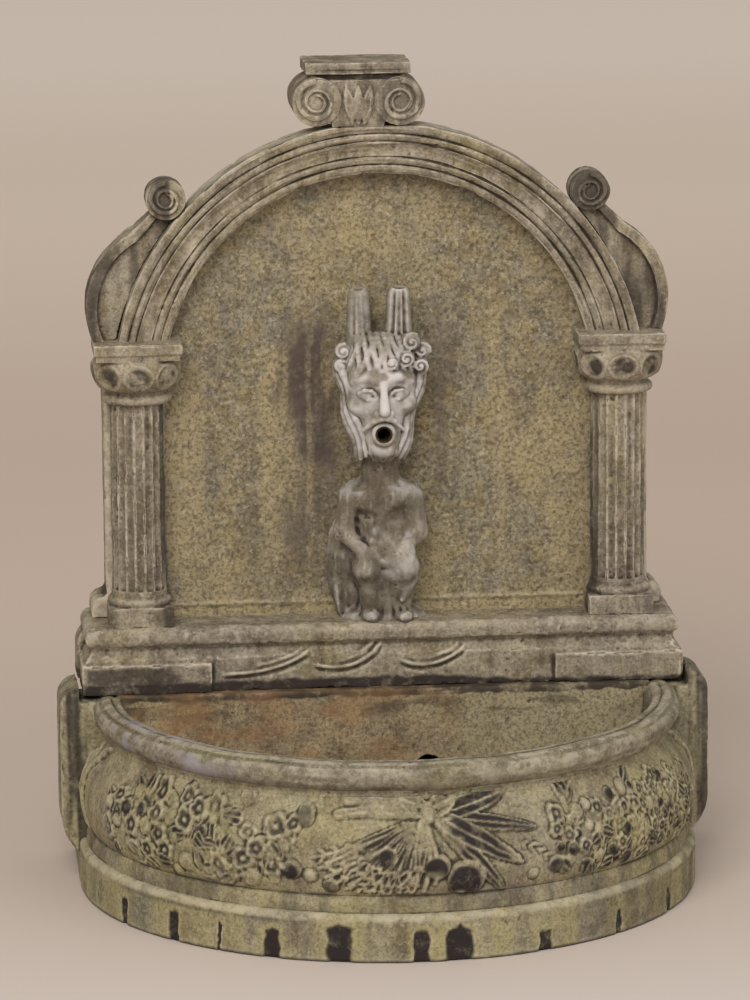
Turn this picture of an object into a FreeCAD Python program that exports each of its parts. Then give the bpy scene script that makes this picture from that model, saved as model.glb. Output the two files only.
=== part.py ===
"""Tabletop fountain: a bow-fronted basin with a pump chamber, and a niche wall that stands on it.

Frame: X to the right, the bowed front faces -Y, Z up. The origin lies on the table under the middle of
the bounding box. Millimetres throughout. Every size is a cell of the sheet; every piece is bound to it.
"""
import FreeCAD
import Part
import Sketcher
import math
import os
import re

VEC = FreeCAD.Vector

SIZES = {
    # basin
    "basin_height": 87,
    "foot_radius": 141,
    "side_length": 62,
    "foot_height": 21,
    "foot_round": 2.2,
    "waist_inset": 4.5,
    "waist_rise": 8.5,
    "neck_inset": 14,
    "neck_drop": 17,
    "lip_inset": 7.7,
    "lip_half": 5.9,
    "pool_floor": 14,
    "pool_taper": 7,
    "pool_round": 10,
    "partition_thickness": 11,
    "ledge_reach": 3,
    "rear_wall": 9,
    "slot_width": 14,
    "slot_height": 41,
    "side_slot_height": 31,
    "slot_pitch": 62,
    "slot_shift": 20,
    "cord_x": 62,
    "cord_drop": 17,
    "cord_radius": 6,
    "bung_flange": 3,
    "bung_gap": 0.12,
    # ears
    "ear_proud": 9,
    "ear_depth": 30,
    "ear_setback": 6,
    "ear_top": 93,
    "ear_bottom": 12,
    "reed_radius": 2.2,
    "lift_gap": 0.8,
    # plinth
    "plinth_height": 30,
    "plinth_depth": 52,
    "plinth_inset": 2,
    "pedestal_width": 59.5,
    "plinth_step": 2.2,
    "plinth_slab": 14,
    "plinth_neck": 7,
    "wing_proud": 1,
    "notch_width": 16,
    "notch_depth": 35,
    "notch_lid": 10,
    # wall behind the niche
    "slab_thickness": 24,
    "slab_inset": 6,
    "slab_margin": 15,
    "shoulder_width": 7,
    "shoulder_height": 10,
    "channel_depth": 16,
    # columns and capitals
    "column_inset": 28,
    "column_sink": 7,
    "column_radius": 13,
    "column_height": 103.5,
    "column_block": 9,
    "column_ring": 4,
    "flute_radius": 1.9,
    "capital_width": 40.5,
    "capital_height": 29,
    "capital_front": 26,
    "abacus_height": 8,
    "astragal_height": 4,
    # arch, scrolls, crown
    "arch_drop": 24,
    "arch_overlap": 0.7,
    "arch_width": 23.3,
    "arch_depth": 18,
    "scroll_gap": 0.3,
    "scroll_spread": 9,
    "scroll_lean": 8,
    "scroll_rise": 49,
    "scroll_depth": 10,
    "scroll_rib": 5,
    "rib_depth": 14,
    "bud_turn": 42.5,
    "bud_radius": 9.2,
    "bud_depth": 16,
    "crown_x": -9,
    "crown_seat": 1.6,
    "crown_depth": 30,
    "crown_front": 16,
    "volute_x": 19,
    "volute_rise": 11.8,
    "volute_radius": 11.2,
    "volute_relief": 1.5,
    "crown_abacus": 24,
    "abacus_rise": 21.5,
    "crown_top": 8,
    # figure and water line
    "mouth_rise": 90,
    "mouth_reach": 37,
    "pipe_radius": 4,
    "pipe_bore": 3,
    "pipe_recess": 3,
    "fit_gap": 0.1,
    "riser_inset": 8,
    "tube_radius": 5.6,
    "tube_bore": 4.1,
    "bend_radius": 22,
    # pump
    "cup_height": 4,
    "cup_radius": 5,
    "motor_length": 34,
    "motor_width": 30,
    "motor_height": 34,
    "motor_round": 4,
    "drum_radius": 15,
    "drum_half": 7,
    "drum_bore": 11.8,
    "well_radius": 7,
    "well_depth": 25,
    "rotor_gap": 0.6,
    "pin_radius": 1.25,
    "run_gap": 0.05,
    "bush_radius": 3.5,
    "bush_length": 3,
    "seal_radius": 13.4,
    "seal_half": 0.75,
    "cover_plate": 3,
    "dial_plate": 2.4,
    "dial_stub": 2,
    "port_circle": 8,
    "port_radius": 1.8,
    "barb_radius": 4,
    "barb_bore": 2.8,
    "barb_length": 24,
    "gland_radius": 5,
}

DERIVED = {
    "back_y": "(foot_radius + side_length) / 2",
    "bow_y": "back_y - side_length",
    "wall_front": "back_y - plinth_depth",
    "slab_front": "back_y - slab_thickness",
    "lip_reach": "foot_radius - lip_inset",
    "lip_middle": "lip_reach - lip_half",
    "lip_level": "basin_height - lip_half",
    "pool_radius": "lip_reach - 2 * lip_half",
    "partition_front": "wall_front - ledge_reach",
    "chamber_front": "partition_front + partition_thickness",
    "chamber_back": "back_y - rear_wall",
    "cord_level": "basin_height - cord_drop",
    "plinth_top": "basin_height + plinth_height",
    "ear_reach": "foot_radius + ear_proud",
    "plinth_reach": "foot_radius - plinth_inset",
    "wing_reach": "plinth_reach + wing_proud",
    "column_x": "plinth_reach - column_inset",
    "column_y": "slab_front - column_sink",
    "slab_reach": "column_x + slab_margin",
    "shoulder_reach": "slab_reach + shoulder_width",
    "column_top": "plinth_top + column_height",
    "abacus_top": "column_top + capital_height",
    "arch_z": "abacus_top - arch_drop",
    "arch_inner": "column_x - column_radius + arch_overlap",
    "arch_outer": "arch_inner + arch_width",
    "scroll_foot": "arch_outer + scroll_spread",
    "scroll_head": "arch_outer - scroll_lean",
    "bud_reach": "arch_outer + scroll_gap + bud_radius",
    "bud_x": "bud_reach * cos(bud_turn)",
    "bud_rise": "bud_reach * sin(bud_turn) - arch_drop",
    "seat_z": "arch_z + arch_outer - crown_seat",
    "ring_foot": "sqrt((arch_outer + scroll_gap)^2 - arch_drop^2)",
    "mouth_z": "plinth_top + mouth_rise",
    "figure_unit": "mouth_rise / 90",
    "riser_y": "back_y - riser_inset",
    "pump_y": "(chamber_front + chamber_back) / 2",
    "axle_z": "pool_floor + cup_height + motor_height / 2",
    "drum_top": "axle_z + drum_radius",
}

doc = FreeCAD.newDocument("tabletop_fountain")
sheet = doc.addObject("Spreadsheet::Sheet", "Sizes")
for row, (alias, amount) in enumerate(SIZES.items(), 1):
    sheet.set("A%d" % row, alias)
    sheet.set("B%d" % row, str(amount))
    sheet.setAlias("B%d" % row, alias)
doc.recompute()


def ref(formula):
    """Spell a formula of size names out as an expression on the sheet."""
    def spelled(match):
        word = match.group(0)
        if word in DERIVED:
            return "(" + ref(DERIVED[word]) + ")"
        return "Sizes." + word if word in SIZES else word
    return re.sub(r"[a-z][a-z_]+", spelled, str(formula))


def value(formula):
    return float(sheet.evalExpression(ref(formula)))


def bind(obj, sizes):
    """Bind properties of an object to formulas of sizes."""
    for prop, formula in sizes.items():
        obj.setExpression(prop, ref(formula))
    return obj


def put(obj, x, y, z, axis=None):
    """Place an object; axis turns its own Z to that direction."""
    if axis:
        obj.Placement = FreeCAD.Placement(VEC(0, 0, 0), FreeCAD.Rotation(VEC(0, 0, 1), VEC(*axis)))
    return bind(obj, {"Placement.Base.x": x, "Placement.Base.y": y, "Placement.Base.z": z})


def new_body(label, x, y, z):
    body = doc.addObject("PartDesign::Body", label)
    body.Label = label
    return put(body, x, y, z)


def new_sketch(body, label, role, lift=None):
    """A sketch on one of the body's origin planes, lifted along the plane's normal by a formula."""
    sketch = body.newObject("Sketcher::SketchObject", label)
    plane = [item for item in body.Origin.OriginFeatures if item.Role == role][0]
    sketch.AttachmentSupport = [(plane, "")]
    sketch.MapMode = "FlatFace"
    if lift is not None:
        sketch.setExpression("AttachmentOffset.Base.z", ref(lift))
    return sketch


def fix(sketch, kind, geometry, place, formula):
    index = sketch.addConstraint(Sketcher.Constraint(kind, -1, 1, geometry, place, value(formula)))
    sketch.setExpression("Constraints[%d]" % index, ref(formula))


def outline(sketch, corners, closed=True):
    """Draw a chain of edges through corners given as formulas.

    A corner is (x, y), or (x, y, bend) for the edge that leaves it. A number for bend is the tangent of a
    quarter of the arc's angle, positive when it turns left; (x, y, turn) gives the arc's centre instead.
    """
    count = len(corners)
    edges = count if closed else count - 1
    first = sketch.GeometryCount
    ends = []
    for i in range(edges):
        start = corners[i]
        stop = corners[(i + 1) % count]
        a = VEC(value(start[0]), value(start[1]), 0)
        b = VEC(value(stop[0]), value(stop[1]), 0)
        bend = start[2] if len(start) == 3 else 0
        if not bend:
            sketch.addGeometry(Part.LineSegment(a, b))
            ends.append((1, 2))
            continue
        if isinstance(bend, tuple):
            centre = bend[:2]
            turn = bend[2]
        else:
            pull = (1 - bend * bend) / (4 * bend)
            pair = (start[0], start[1], stop[0], stop[1])
            centre = (
                "((%s) + (%s)) / 2 - ((%s) - (%s)) * (%.9f)" % (pair[0], pair[2], pair[3], pair[1], pull),
                "((%s) + (%s)) / 2 + ((%s) - (%s)) * (%.9f)" % (pair[1], pair[3], pair[2], pair[0], pull),
            )
            turn = bend
        middle = VEC(value(centre[0]), value(centre[1]), 0)
        here, there = (a, b) if turn > 0 else (b, a)
        low = math.atan2(here.y - middle.y, here.x - middle.x)
        high = math.atan2(there.y - middle.y, there.x - middle.x)
        circle = Part.Circle(middle, VEC(0, 0, 1), (a - middle).Length)
        index = sketch.addGeometry(Part.ArcOfCircle(circle, low, high))
        ends.append((1, 2) if turn > 0 else (2, 1))
        if abs(b.x - a.x) > abs(b.y - a.y):
            fix(sketch, "DistanceY", index, 3, centre[1])
        else:
            fix(sketch, "DistanceX", index, 3, centre[0])
    for i in range(edges if closed else edges - 1):
        after = (i + 1) % edges
        joint = Sketcher.Constraint("Coincident", first + i, ends[i][1], first + after, ends[after][0])
        sketch.addConstraint(joint)
    for i in range(edges):
        fix(sketch, "DistanceX", first + i, ends[i][0], corners[i][0])
        fix(sketch, "DistanceY", first + i, ends[i][0], corners[i][1])
    if not closed:
        fix(sketch, "DistanceX", first + edges - 1, ends[-1][1], corners[-1][0])
        fix(sketch, "DistanceY", first + edges - 1, ends[-1][1], corners[-1][1])
    return sketch


def circle(sketch, x, y, radius):
    index = sketch.addGeometry(Part.Circle(VEC(value(x), value(y), 0), VEC(0, 0, 1), value(radius)))
    fix(sketch, "DistanceX", index, 3, x)
    fix(sketch, "DistanceY", index, 3, y)
    rim = sketch.addConstraint(Sketcher.Constraint("Radius", index, value(radius)))
    sketch.setExpression("Constraints[%d]" % rim, ref(radius))
    return sketch


def rectangle(sketch, left, low, right, high):
    return outline(sketch, [(left, low), (right, low), (right, high), (left, high)])


def feature(kind, body, label, sketch, sizes=None, reverse=False, through=False, both=False):
    """Pad, Pocket, Revolution or Groove from a sketch or from a face of the body."""
    made = body.newObject("PartDesign::" + kind, label)
    made.Profile = sketch
    if through:
        made.Type = 1
    if both:
        made.Midplane = True
    made.Reversed = reverse
    if sizes:
        bind(made, sizes)
    return made


def spin(kind, body, label, sketch, angle, reverse=False, axis="V_Axis"):
    made = body.newObject("PartDesign::" + kind, label)
    made.Profile = sketch
    made.ReferenceAxis = (sketch, [axis])
    made.Angle = angle
    made.Reversed = reverse
    return made


def fillet(body, label, base, edges, formula):
    made = body.newObject("PartDesign::Fillet", label)
    made.Base = (base, edges)
    return bind(made, {"Radius": formula})


def edges_where(shape, test):
    return ["Edge%d" % n for n, edge in enumerate(shape.Edges, 1) if test(edge)]


def prim(kind, sizes, x, y, z, axis=None, label=None):
    made = doc.addObject("Part::" + kind, label or kind.lower())
    bind(made, sizes)
    return put(made, x, y, z, axis)


def rod(radius, length, x, y, z, axis=None):
    return prim("Cylinder", {"Radius": radius, "Height": length}, x, y, z, axis)


def block(length, width, height, x, y, z):
    return prim("Box", {"Length": length, "Width": width, "Height": height}, x, y, z)


def fused(label, shapes):
    made = doc.addObject("Part::MultiFuse", label)
    made.Label = label
    made.Shapes = shapes
    made.Refine = True
    return made


def cut(label, base, tools):
    made = doc.addObject("Part::Cut", label)
    made.Label = label
    made.Base = base
    made.Tool = tools[0] if len(tools) == 1 else fused(label + "_tools", tools)
    made.Refine = True
    return made


def group(label, shapes):
    made = doc.addObject("Part::Compound", label)
    made.Label = label
    made.Links = shapes
    return made


def spiral(x, z, radius, hand):
    """Band of a volute from half circles that shrink towards the eye; hand 1 turns right from the top."""
    outer = []
    inner = []
    for i in range(5):
        sign = 1 if i % 2 == 0 else -1
        size = 0.76 ** i
        outer.append((x, "%s + (%s) * (%.6f)" % (z, radius, sign * size)))
        inner.append((x, "%s + (%s) * (%.6f)" % (z, radius, sign * size * 0.76)))
    chain = [(px, pz, -hand) for px, pz in outer[:-1]] + [outer[-1]]
    back = [(px, pz, hand) for px, pz in reversed(inner)]
    return chain + back[:-1] + [inner[0]]


pieces = []


# basin: the wall and floor are one section, spun round the bow and drawn straight back along the flanks
basin = new_body("basin", "0", "bow_y", "0")
section = outline(new_sketch(basin, "basin_section", "XZ_Plane"), [
    ("0", "0"),
    ("foot_radius - foot_round / 2", "0"),
    ("foot_radius", "foot_round / 2"),
    ("foot_radius", "foot_height - foot_round", 0.4142),
    ("foot_radius - foot_round", "foot_height"),
    ("foot_radius - foot_round - 1", "foot_height", 0.12),
    ("foot_radius - waist_inset", "foot_height + waist_rise", 0.36),
    ("foot_radius - neck_inset", "basin_height - neck_drop", -0.25),
    ("lip_middle + lip_half * 0.37", "lip_level - lip_half * 0.92903", 1.8856),
    ("pool_radius", "lip_level"),
    ("pool_radius - pool_taper", "pool_floor + pool_round", -0.4142),
    ("pool_radius - pool_taper - pool_round", "pool_floor"),
    ("0", "pool_floor"),
])
bow = spin("Revolution", basin, "basin_bow", section, 180, reverse=True)
doc.recompute()
flat = [n for n, face in enumerate(bow.Shape.Faces, 1) if face.BoundBox.YLength < 1e-6]
feature("Pad", basin, "basin_flanks", (bow, ["Face%d" % flat[0]]), {"Length": "side_length"})
inside = ("-(pool_radius + 2)", "pool_floor / 2", "pool_radius + 2", "basin_height")
rear = rectangle(new_sketch(basin, "rear_wall_face", "XZ_Plane", "-side_length"), *inside)
feature("Pad", basin, "rear_wall_pad", rear, {"Length": "rear_wall"})
mouth = new_sketch(basin, "cord_hole", "XZ_Plane", "-side_length")
circle(mouth, "cord_x", "cord_level", "cord_radius")
feature("Pocket", basin, "cord_hole_cut", mouth, {"Length": "rear_wall"}, reverse=True)
seat = new_sketch(basin, "bung_seat", "XZ_Plane", "-side_length")
circle(seat, "cord_x", "cord_level", "cord_radius + bung_flange")
feature("Pocket", basin, "bung_seat_cut", seat, {"Length": "bung_flange"}, reverse=True)
pieces.append(basin)

# partition: slab between pool and pump chamber, cut to the inside of the basin, with return slots at its foot
divider = new_body("divider", "0", "partition_front", "0")
inner = rectangle(new_sketch(divider, "partition_face", "XZ_Plane"), *inside)
feature("Pad", divider, "partition_pad", inner, {"Length": "partition_thickness"}, reverse=True)
slots = new_sketch(divider, "return_slots", "XZ_Plane")
for middle, tall in (("slot_shift - slot_pitch", "side_slot_height"), ("slot_shift", "slot_height"),
                     ("slot_shift + slot_pitch", "side_slot_height")):
    outline(slots, [
        ("%s - slot_width / 2" % middle, "pool_floor / 2 - 1"),
        ("%s + slot_width / 2" % middle, "pool_floor / 2 - 1"),
        ("%s + slot_width / 2" % middle, "pool_floor + %s - slot_width / 2" % tall, 1),
        ("%s - slot_width / 2" % middle, "pool_floor + %s - slot_width / 2" % tall),
    ])
feature("Pocket", divider, "return_slot_cut", slots, {"Length": "partition_thickness"})
pieces.append(cut("partition", divider, [basin]))

# cord bung, pulled out to the rear
bung_solid = fused("bung_solid", [
    rod("cord_radius - bung_gap", "rear_wall", "cord_x", "chamber_back", "cord_level", (0, 1, 0)),
    rod("cord_radius + bung_flange - bung_gap", "bung_flange", "cord_x", "back_y - bung_flange", "cord_level",
        (0, 1, 0)),
])
pieces.append(cut("cord_bung", bung_solid, [
    rod("cord_radius * 0.42", "rear_wall + 2", "cord_x", "chamber_back - 1", "cord_level", (0, 1, 0)),
]))

# ears: reeded straps cut to the flank of the basin
for label, hand in (("left_ear", -1), ("right_ear", 1)):
    strap = new_body(label + "_strap", "0", "wall_front - ear_setback", "0")
    side = "%d * " % hand
    shape = outline(new_sketch(strap, label + "_outline", "XZ_Plane"), [
        (side + "(foot_radius - neck_inset - 1)", "ear_bottom + 4"),
        (side + "(ear_reach - 12)", "ear_bottom", 0.25 * hand),
        (side + "ear_reach", "ear_bottom + 20"),
        (side + "ear_reach", "ear_top - 10", 0.4 * hand),
        (side + "(wing_reach + lift_gap)", "ear_top - 0.5"),
        (side + "(wing_reach + lift_gap)", "basin_height - 2"),
        (side + "(foot_radius - neck_inset - 1)", "basin_height - 2"),
    ])
    solid = feature("Pad", strap, label + "_pad", shape, {"Length": "ear_depth"}, reverse=True)
    reeds = new_sketch(strap, label + "_reeds", "XY_Plane")
    for place in ("0.2", "0.5", "0.8"):
        circle(reeds, side + "(ear_reach + reed_radius * 0.4)", "ear_depth * " + place, "reed_radius")
    for place in ("0.18", "0.62"):
        inset = side + "(ear_reach - 2.6 - 10 * %s)" % place
        circle(reeds, inset, "-reed_radius * 0.45", "reed_radius * 0.8")
    feature("Pocket", strap, label + "_reed_cut", reeds, {"Length": "ear_top"}, reverse=True)
    pieces.append(cut(label, strap, [basin]))

# plinth: moulded pedestals, a set-back middle, low wings and a notch for the tube
plinth = new_body("plinth", "0", "wall_front", "basin_height")
core = new_sketch(plinth, "plinth_core_plan", "XY_Plane")
rectangle(core, "-(plinth_reach - 8)", "plinth_step", "plinth_reach - 8", "plinth_depth")
core_pad = feature("Pad", plinth, "plinth_core", core, {"Length": "plinth_height"})
doc.recompute()
top_edge = edges_where(core_pad.Shape, lambda edge: edge.BoundBox.ZMin > value("plinth_height") - 1e-4
                       and edge.BoundBox.YMax < value("plinth_step") + 1e-4)
fillet(plinth, "plinth_core_round", core_pad, top_edge, "4")
levels = {
    "neck": "plinth_slab",
    "scotia": "plinth_slab + 2",
    "torus": "plinth_slab + plinth_neck",
    "round": "(plinth_height - plinth_slab - plinth_neck) / 2",
}


def moulding(near, inward):
    """Rising profile of a pedestal; near is the face and inward the sign that leads into the block."""
    step = "%s + (%d) * " % (near, inward)
    return [
        (near, "0"),
        (near, levels["neck"]),
        (step + "2", levels["neck"]),
        (step + "2", levels["scotia"], -0.3 * inward),
        (step + "4.5", levels["torus"], 0.7 * inward),
        (step + "5", "plinth_height"),
    ]


pedestals = new_sketch(plinth, "pedestal_faces", "XZ_Plane")
for hand in (-1, 1):
    left = moulding("-plinth_reach" if hand < 0 else "plinth_reach - pedestal_width", 1)
    right = moulding("pedestal_width - plinth_reach" if hand < 0 else "plinth_reach", -1)
    left_up = [(x, z, -bend[0]) if bend else (x, z) for x, z, *bend in left]
    rising = [(x, z, -bend[0]) if bend else (x, z) for x, z, *bend in right]
    bends = [corner[2] if len(corner) == 3 else 0 for corner in left_up]
    falling = []
    for i in range(len(left_up) - 1, -1, -1):
        falling.append((left_up[i][0], left_up[i][1], -bends[i - 1] if i else 0))
    outline(pedestals, rising + falling)
feature("Pad", plinth, "pedestals", pedestals, {"Length": "plinth_depth"}, reverse=True)
shave = new_sketch(plinth, "pedestal_front", "YZ_Plane")
rise = [(x, z, -bend[0]) if bend else (x, z) for x, z, *bend in moulding("0", 1)]
outline(shave, rise + [("5", "plinth_height + 2"), ("-6", "plinth_height + 2"), ("-6", "0")])
feature("Pocket", plinth, "pedestal_front_cut", shave, {"Length": "4 * plinth_reach"}, both=True)
wings = new_sketch(plinth, "wing_faces", "XZ_Plane", "-plinth_depth")
for side in ("-1 * ", ""):
    hand = -1 if side else 1
    outline(wings, [
        (side + "(plinth_reach - 12)", "0"),
        (side + "wing_reach", "0"),
        (side + "wing_reach", "plinth_height * 0.45", 0.3 * hand),
        (side + "(plinth_reach - 6)", "plinth_height * 0.85"),
        (side + "(plinth_reach - 12)", "plinth_height * 0.85"),
    ])
feature("Pad", plinth, "wings", wings, {"Length": "plinth_depth / 3"})
notch = new_sketch(plinth, "tube_notch", "XY_Plane")
rectangle(notch, "-notch_width / 2", "plinth_depth - notch_depth", "notch_width / 2", "plinth_depth + 1")
feature("Pocket", plinth, "tube_notch_cut", notch, {"Length": "plinth_height - notch_lid"}, reverse=True)
notch = new_sketch(plinth, "tube_notch_top", "XY_Plane", "plinth_height")
rectangle(notch, "-notch_width / 2", "plinth_depth - slab_thickness", "notch_width / 2", "plinth_depth + 1")
feature("Pocket", plinth, "tube_notch_top_cut", notch, {"Length": "notch_lid"})
pieces.append(plinth)

# back slab: flat panel behind the niche, its outline carried up round the arch
slab = new_body("back_slab", "0", "slab_front", "plinth_top")
lower = "abacus_top - plinth_top"
centre = "arch_z - plinth_top"
hidden = "(arch_outer - slab_inset)"
half = [
    ("0", "0"),
    ("shoulder_reach", "0"),
    ("shoulder_reach", "shoulder_height * 0.6", 0.35),
    ("slab_reach", "shoulder_height"),
    ("slab_reach", lower, 0.36),
    ("scroll_head - 2", lower + " + scroll_rise - 2"),
    (hidden + " * cos(42)", "%s + %s * sin(42)" % (centre, hidden), ("0", centre, 1)),
    ("0", "%s + %s" % (centre, hidden)),
]
mirror_half = []
for i in range(len(half) - 1, -1, -1):
    bend = half[i - 1][2] if i and len(half[i - 1]) == 3 else 0
    mirror_half.append(("-1 * (%s)" % half[i][0], half[i][1], bend))
panel = outline(new_sketch(slab, "slab_outline", "XZ_Plane"), half[1:-1] + mirror_half[1:-1])
feature("Pad", slab, "slab_pad", panel, {"Length": "slab_thickness"}, reverse=True)
channel = new_sketch(slab, "tube_channel", "XZ_Plane", "-slab_thickness")
outline(channel, [
    ("-notch_width / 2", "-1"),
    ("notch_width / 2", "-1"),
    ("notch_width / 2", "mouth_rise + notch_width / 2", 1),
    ("-notch_width / 2", "mouth_rise + notch_width / 2"),
])
feature("Pocket", slab, "tube_channel_cut", channel, {"Length": "channel_depth"}, reverse=True)
bore = circle(new_sketch(slab, "pipe_hole", "XZ_Plane"), "0", "mouth_rise", "pipe_radius + fit_gap")
feature("Pocket", slab, "pipe_hole_cut", bore, {"Length": "slab_thickness"})
pieces.append(slab)

# columns and capitals, cut flat against the slab
for label, hand in (("left", -1), ("right", 1)):
    column = new_body(label + "_column", "%d * column_x" % hand, "column_y", "plinth_top")
    foot = new_sketch(column, label + "_block_plan", "XY_Plane")
    rectangle(foot, "-(column_radius + 2)", "-(column_radius + 2)", "column_radius + 2", "column_sink")
    feature("Pad", column, label + "_block", foot, {"Length": "column_block"})
    profile = outline(new_sketch(column, label + "_shaft_section", "XZ_Plane"), [
        ("0", "column_block / 2"),
        ("column_radius", "column_block / 2"),
        ("column_radius", "column_block", 1),
        ("column_radius", "column_block + column_ring"),
        ("column_radius", "column_block + column_ring + 1"),
        ("column_radius * 0.96", "column_height"),
        ("0", "column_height"),
    ])
    shaft = spin("Revolution", column, label + "_shaft", profile, 360)
    flute = new_sketch(column, label + "_flute", "XY_Plane", "column_block + column_ring + 3")
    circle(flute, "0", "-(column_radius + flute_radius * 0.2)", "flute_radius")
    groove = feature("Pocket", column, label + "_flute_cut", flute, {"Length": "column_height"}, reverse=True)
    column.Tip = groove
    ring = column.newObject("PartDesign::PolarPattern", label + "_flutes")
    ring.Originals = [groove]
    ring.Axis = (profile, ["V_Axis"])
    ring.Angle = 360
    ring.Occurrences = 18
    column.Tip = ring
    rear = new_sketch(column, label + "_column_rear", "XY_Plane")
    rectangle(rear, "-2 * column_radius", "column_sink", "2 * column_radius",
              "column_sink + 2 * column_radius")
    feature("Pocket", column, label + "_column_rear_cut", rear, {"Length": "column_height + 1"}, reverse=True)
    pieces.append(column)

    capital = new_body(label + "_capital", "%d * column_x" % hand, "column_y", "column_top")
    profile = outline(new_sketch(capital, label + "_echinus_section", "XZ_Plane"), [
        ("0", "0"),
        ("column_radius", "0"),
        ("column_radius + 1.5", "0", 0.9),
        ("column_radius + 1", "astragal_height", -0.3),
        ("column_radius + 1.5", "astragal_height + 2", 0.5),
        ("capital_width / 2 - 1", "capital_height - abacus_height"),
        ("0", "capital_height - abacus_height"),
    ])
    spin("Revolution", capital, label + "_echinus", profile, 360)
    plan = new_sketch(capital, label + "_abacus_low", "XY_Plane", "capital_height - abacus_height")
    rectangle(plan, "-(capital_width / 2 - 1)", "column_sink - capital_front + 1", "capital_width / 2 - 1",
              "column_sink")
    feature("Pad", capital, label + "_abacus_fillet", plan, {"Length": "abacus_height * 0.4"})
    plan = new_sketch(capital, label + "_abacus_high", "XY_Plane", "capital_height - abacus_height * 0.6")
    rectangle(plan, "-capital_width / 2", "column_sink - capital_front", "capital_width / 2", "column_sink")
    feature("Pad", capital, label + "_abacus", plan, {"Length": "abacus_height * 0.6"})
    rear = new_sketch(capital, label + "_capital_rear", "XY_Plane")
    rectangle(rear, "-capital_width", "column_sink", "capital_width", "column_sink + capital_width")
    feature("Pocket", capital, label + "_capital_rear_cut", rear, {"Length": "capital_height + 1"},
            reverse=True)
    pieces.append(capital)

# arch: a moulded section spun over the niche, trimmed to the capitals and to the crown's seat
arch = new_body("arch_moulding", "0", "slab_front", "arch_z")
width = "(arch_outer - arch_inner)"
profile = outline(new_sketch(arch, "arch_section", "XY_Plane"), [
    ("arch_inner", "0"),
    ("arch_inner", "-(arch_depth - 6)", 0.5),
    ("arch_inner + %s * 0.15" % width, "-(arch_depth - 5)"),
    ("arch_inner + %s * 0.15" % width, "-(arch_depth - 7)"),
    ("arch_inner + %s * 0.2" % width, "-(arch_depth - 7)"),
    ("arch_inner + %s * 0.2" % width, "-(arch_depth - 4.4)", 0.4),
    ("arch_inner + %s * 0.31" % width, "-(arch_depth - 4)"),
    ("arch_inner + %s * 0.31" % width, "-(arch_depth - 6)"),
    ("arch_inner + %s * 0.36" % width, "-(arch_depth - 6)"),
    ("arch_inner + %s * 0.36" % width, "-(arch_depth - 3.6)", -0.12),
    ("arch_inner + %s * 0.62" % width, "-(arch_depth - 1.6)"),
    ("arch_inner + %s * 0.62" % width, "-(arch_depth - 3.6)"),
    ("arch_inner + %s * 0.67" % width, "-(arch_depth - 3.6)"),
    ("arch_inner + %s * 0.67" % width, "-(arch_depth - 0.8)", 0.4),
    ("arch_inner + %s * 0.78" % width, "-(arch_depth - 0.6)"),
    ("arch_inner + %s * 0.78" % width, "-(arch_depth - 2.8)"),
    ("arch_inner + %s * 0.83" % width, "-(arch_depth - 2.8)"),
    ("arch_inner + %s * 0.83" % width, "-arch_depth"),
    ("arch_outer - 1.5", "-arch_depth", 0.4142),
    ("arch_outer", "-(arch_depth - 1.5)"),
    ("arch_outer", "0"),
])
spin("Revolution", arch, "arch_ring", profile, 180, reverse=True)
trim = new_sketch(arch, "arch_trim", "XZ_Plane")
rectangle(trim, "-2 * arch_outer", "-arch_outer", "2 * arch_outer", "arch_drop")
rectangle(trim, "-arch_outer", "arch_outer - crown_seat", "arch_outer", "arch_outer + 10")
feature("Pocket", arch, "arch_trim_cut", trim, {"Length": "4 * arch_depth"}, both=True)
pieces.append(arch)

# scrolls beside the arch
for label, hand in (("left_scroll", -1), ("right_scroll", 1)):
    scroll = new_body(label, "0", "slab_front", "abacus_top")
    side = "%d * " % hand
    reach = "(arch_outer + scroll_gap)"
    field = outline(new_sketch(scroll, label + "_field", "XZ_Plane"), [
        (side + "ring_foot", "0"),
        (side + "scroll_foot", "0", 0.375 * hand),
        (side + "scroll_head", "scroll_rise"),
        (side + "bud_x", "bud_rise"),
        (side + reach + " * cos(42)", reach + " * sin(42) - arch_drop", ("0", "-arch_drop", -hand)),
    ])
    feature("Pad", scroll, label + "_field_pad", field, {"Length": "scroll_depth"})
    rib = outline(new_sketch(scroll, label + "_rib", "XZ_Plane"), [
        (side + "(scroll_foot - scroll_rib)", "0"),
        (side + "scroll_foot", "0", 0.375 * hand),
        (side + "scroll_head", "scroll_rise"),
        (side + "(scroll_head * 0.4 + bud_x * 0.6)", "scroll_rise * 0.4 + bud_rise * 0.6"),
        (side + "(scroll_head * 0.4 + bud_x * 0.6 - scroll_rib * 0.5)",
         "scroll_rise * 0.4 + bud_rise * 0.6 - scroll_rib * 0.5"),
        (side + "(scroll_head - scroll_rib * 0.7)", "scroll_rise - scroll_rib * 0.7", -0.375 * hand),
    ])
    feature("Pad", scroll, label + "_rib_pad", rib, {"Length": "rib_depth"})
    bud = circle(new_sketch(scroll, label + "_bud", "XZ_Plane"), side + "bud_x", "bud_rise", "bud_radius")
    feature("Pad", scroll, label + "_bud_pad", bud, {"Length": "bud_depth"})
    curl = new_sketch(scroll, label + "_curl", "XZ_Plane", "bud_depth")
    outline(curl, spiral(side + "bud_x", "bud_rise", "bud_radius * 0.96", hand))
    feature("Pad", scroll, label + "_curl_pad", curl, {"Length": "volute_relief"})
    pieces.append(scroll)

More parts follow.
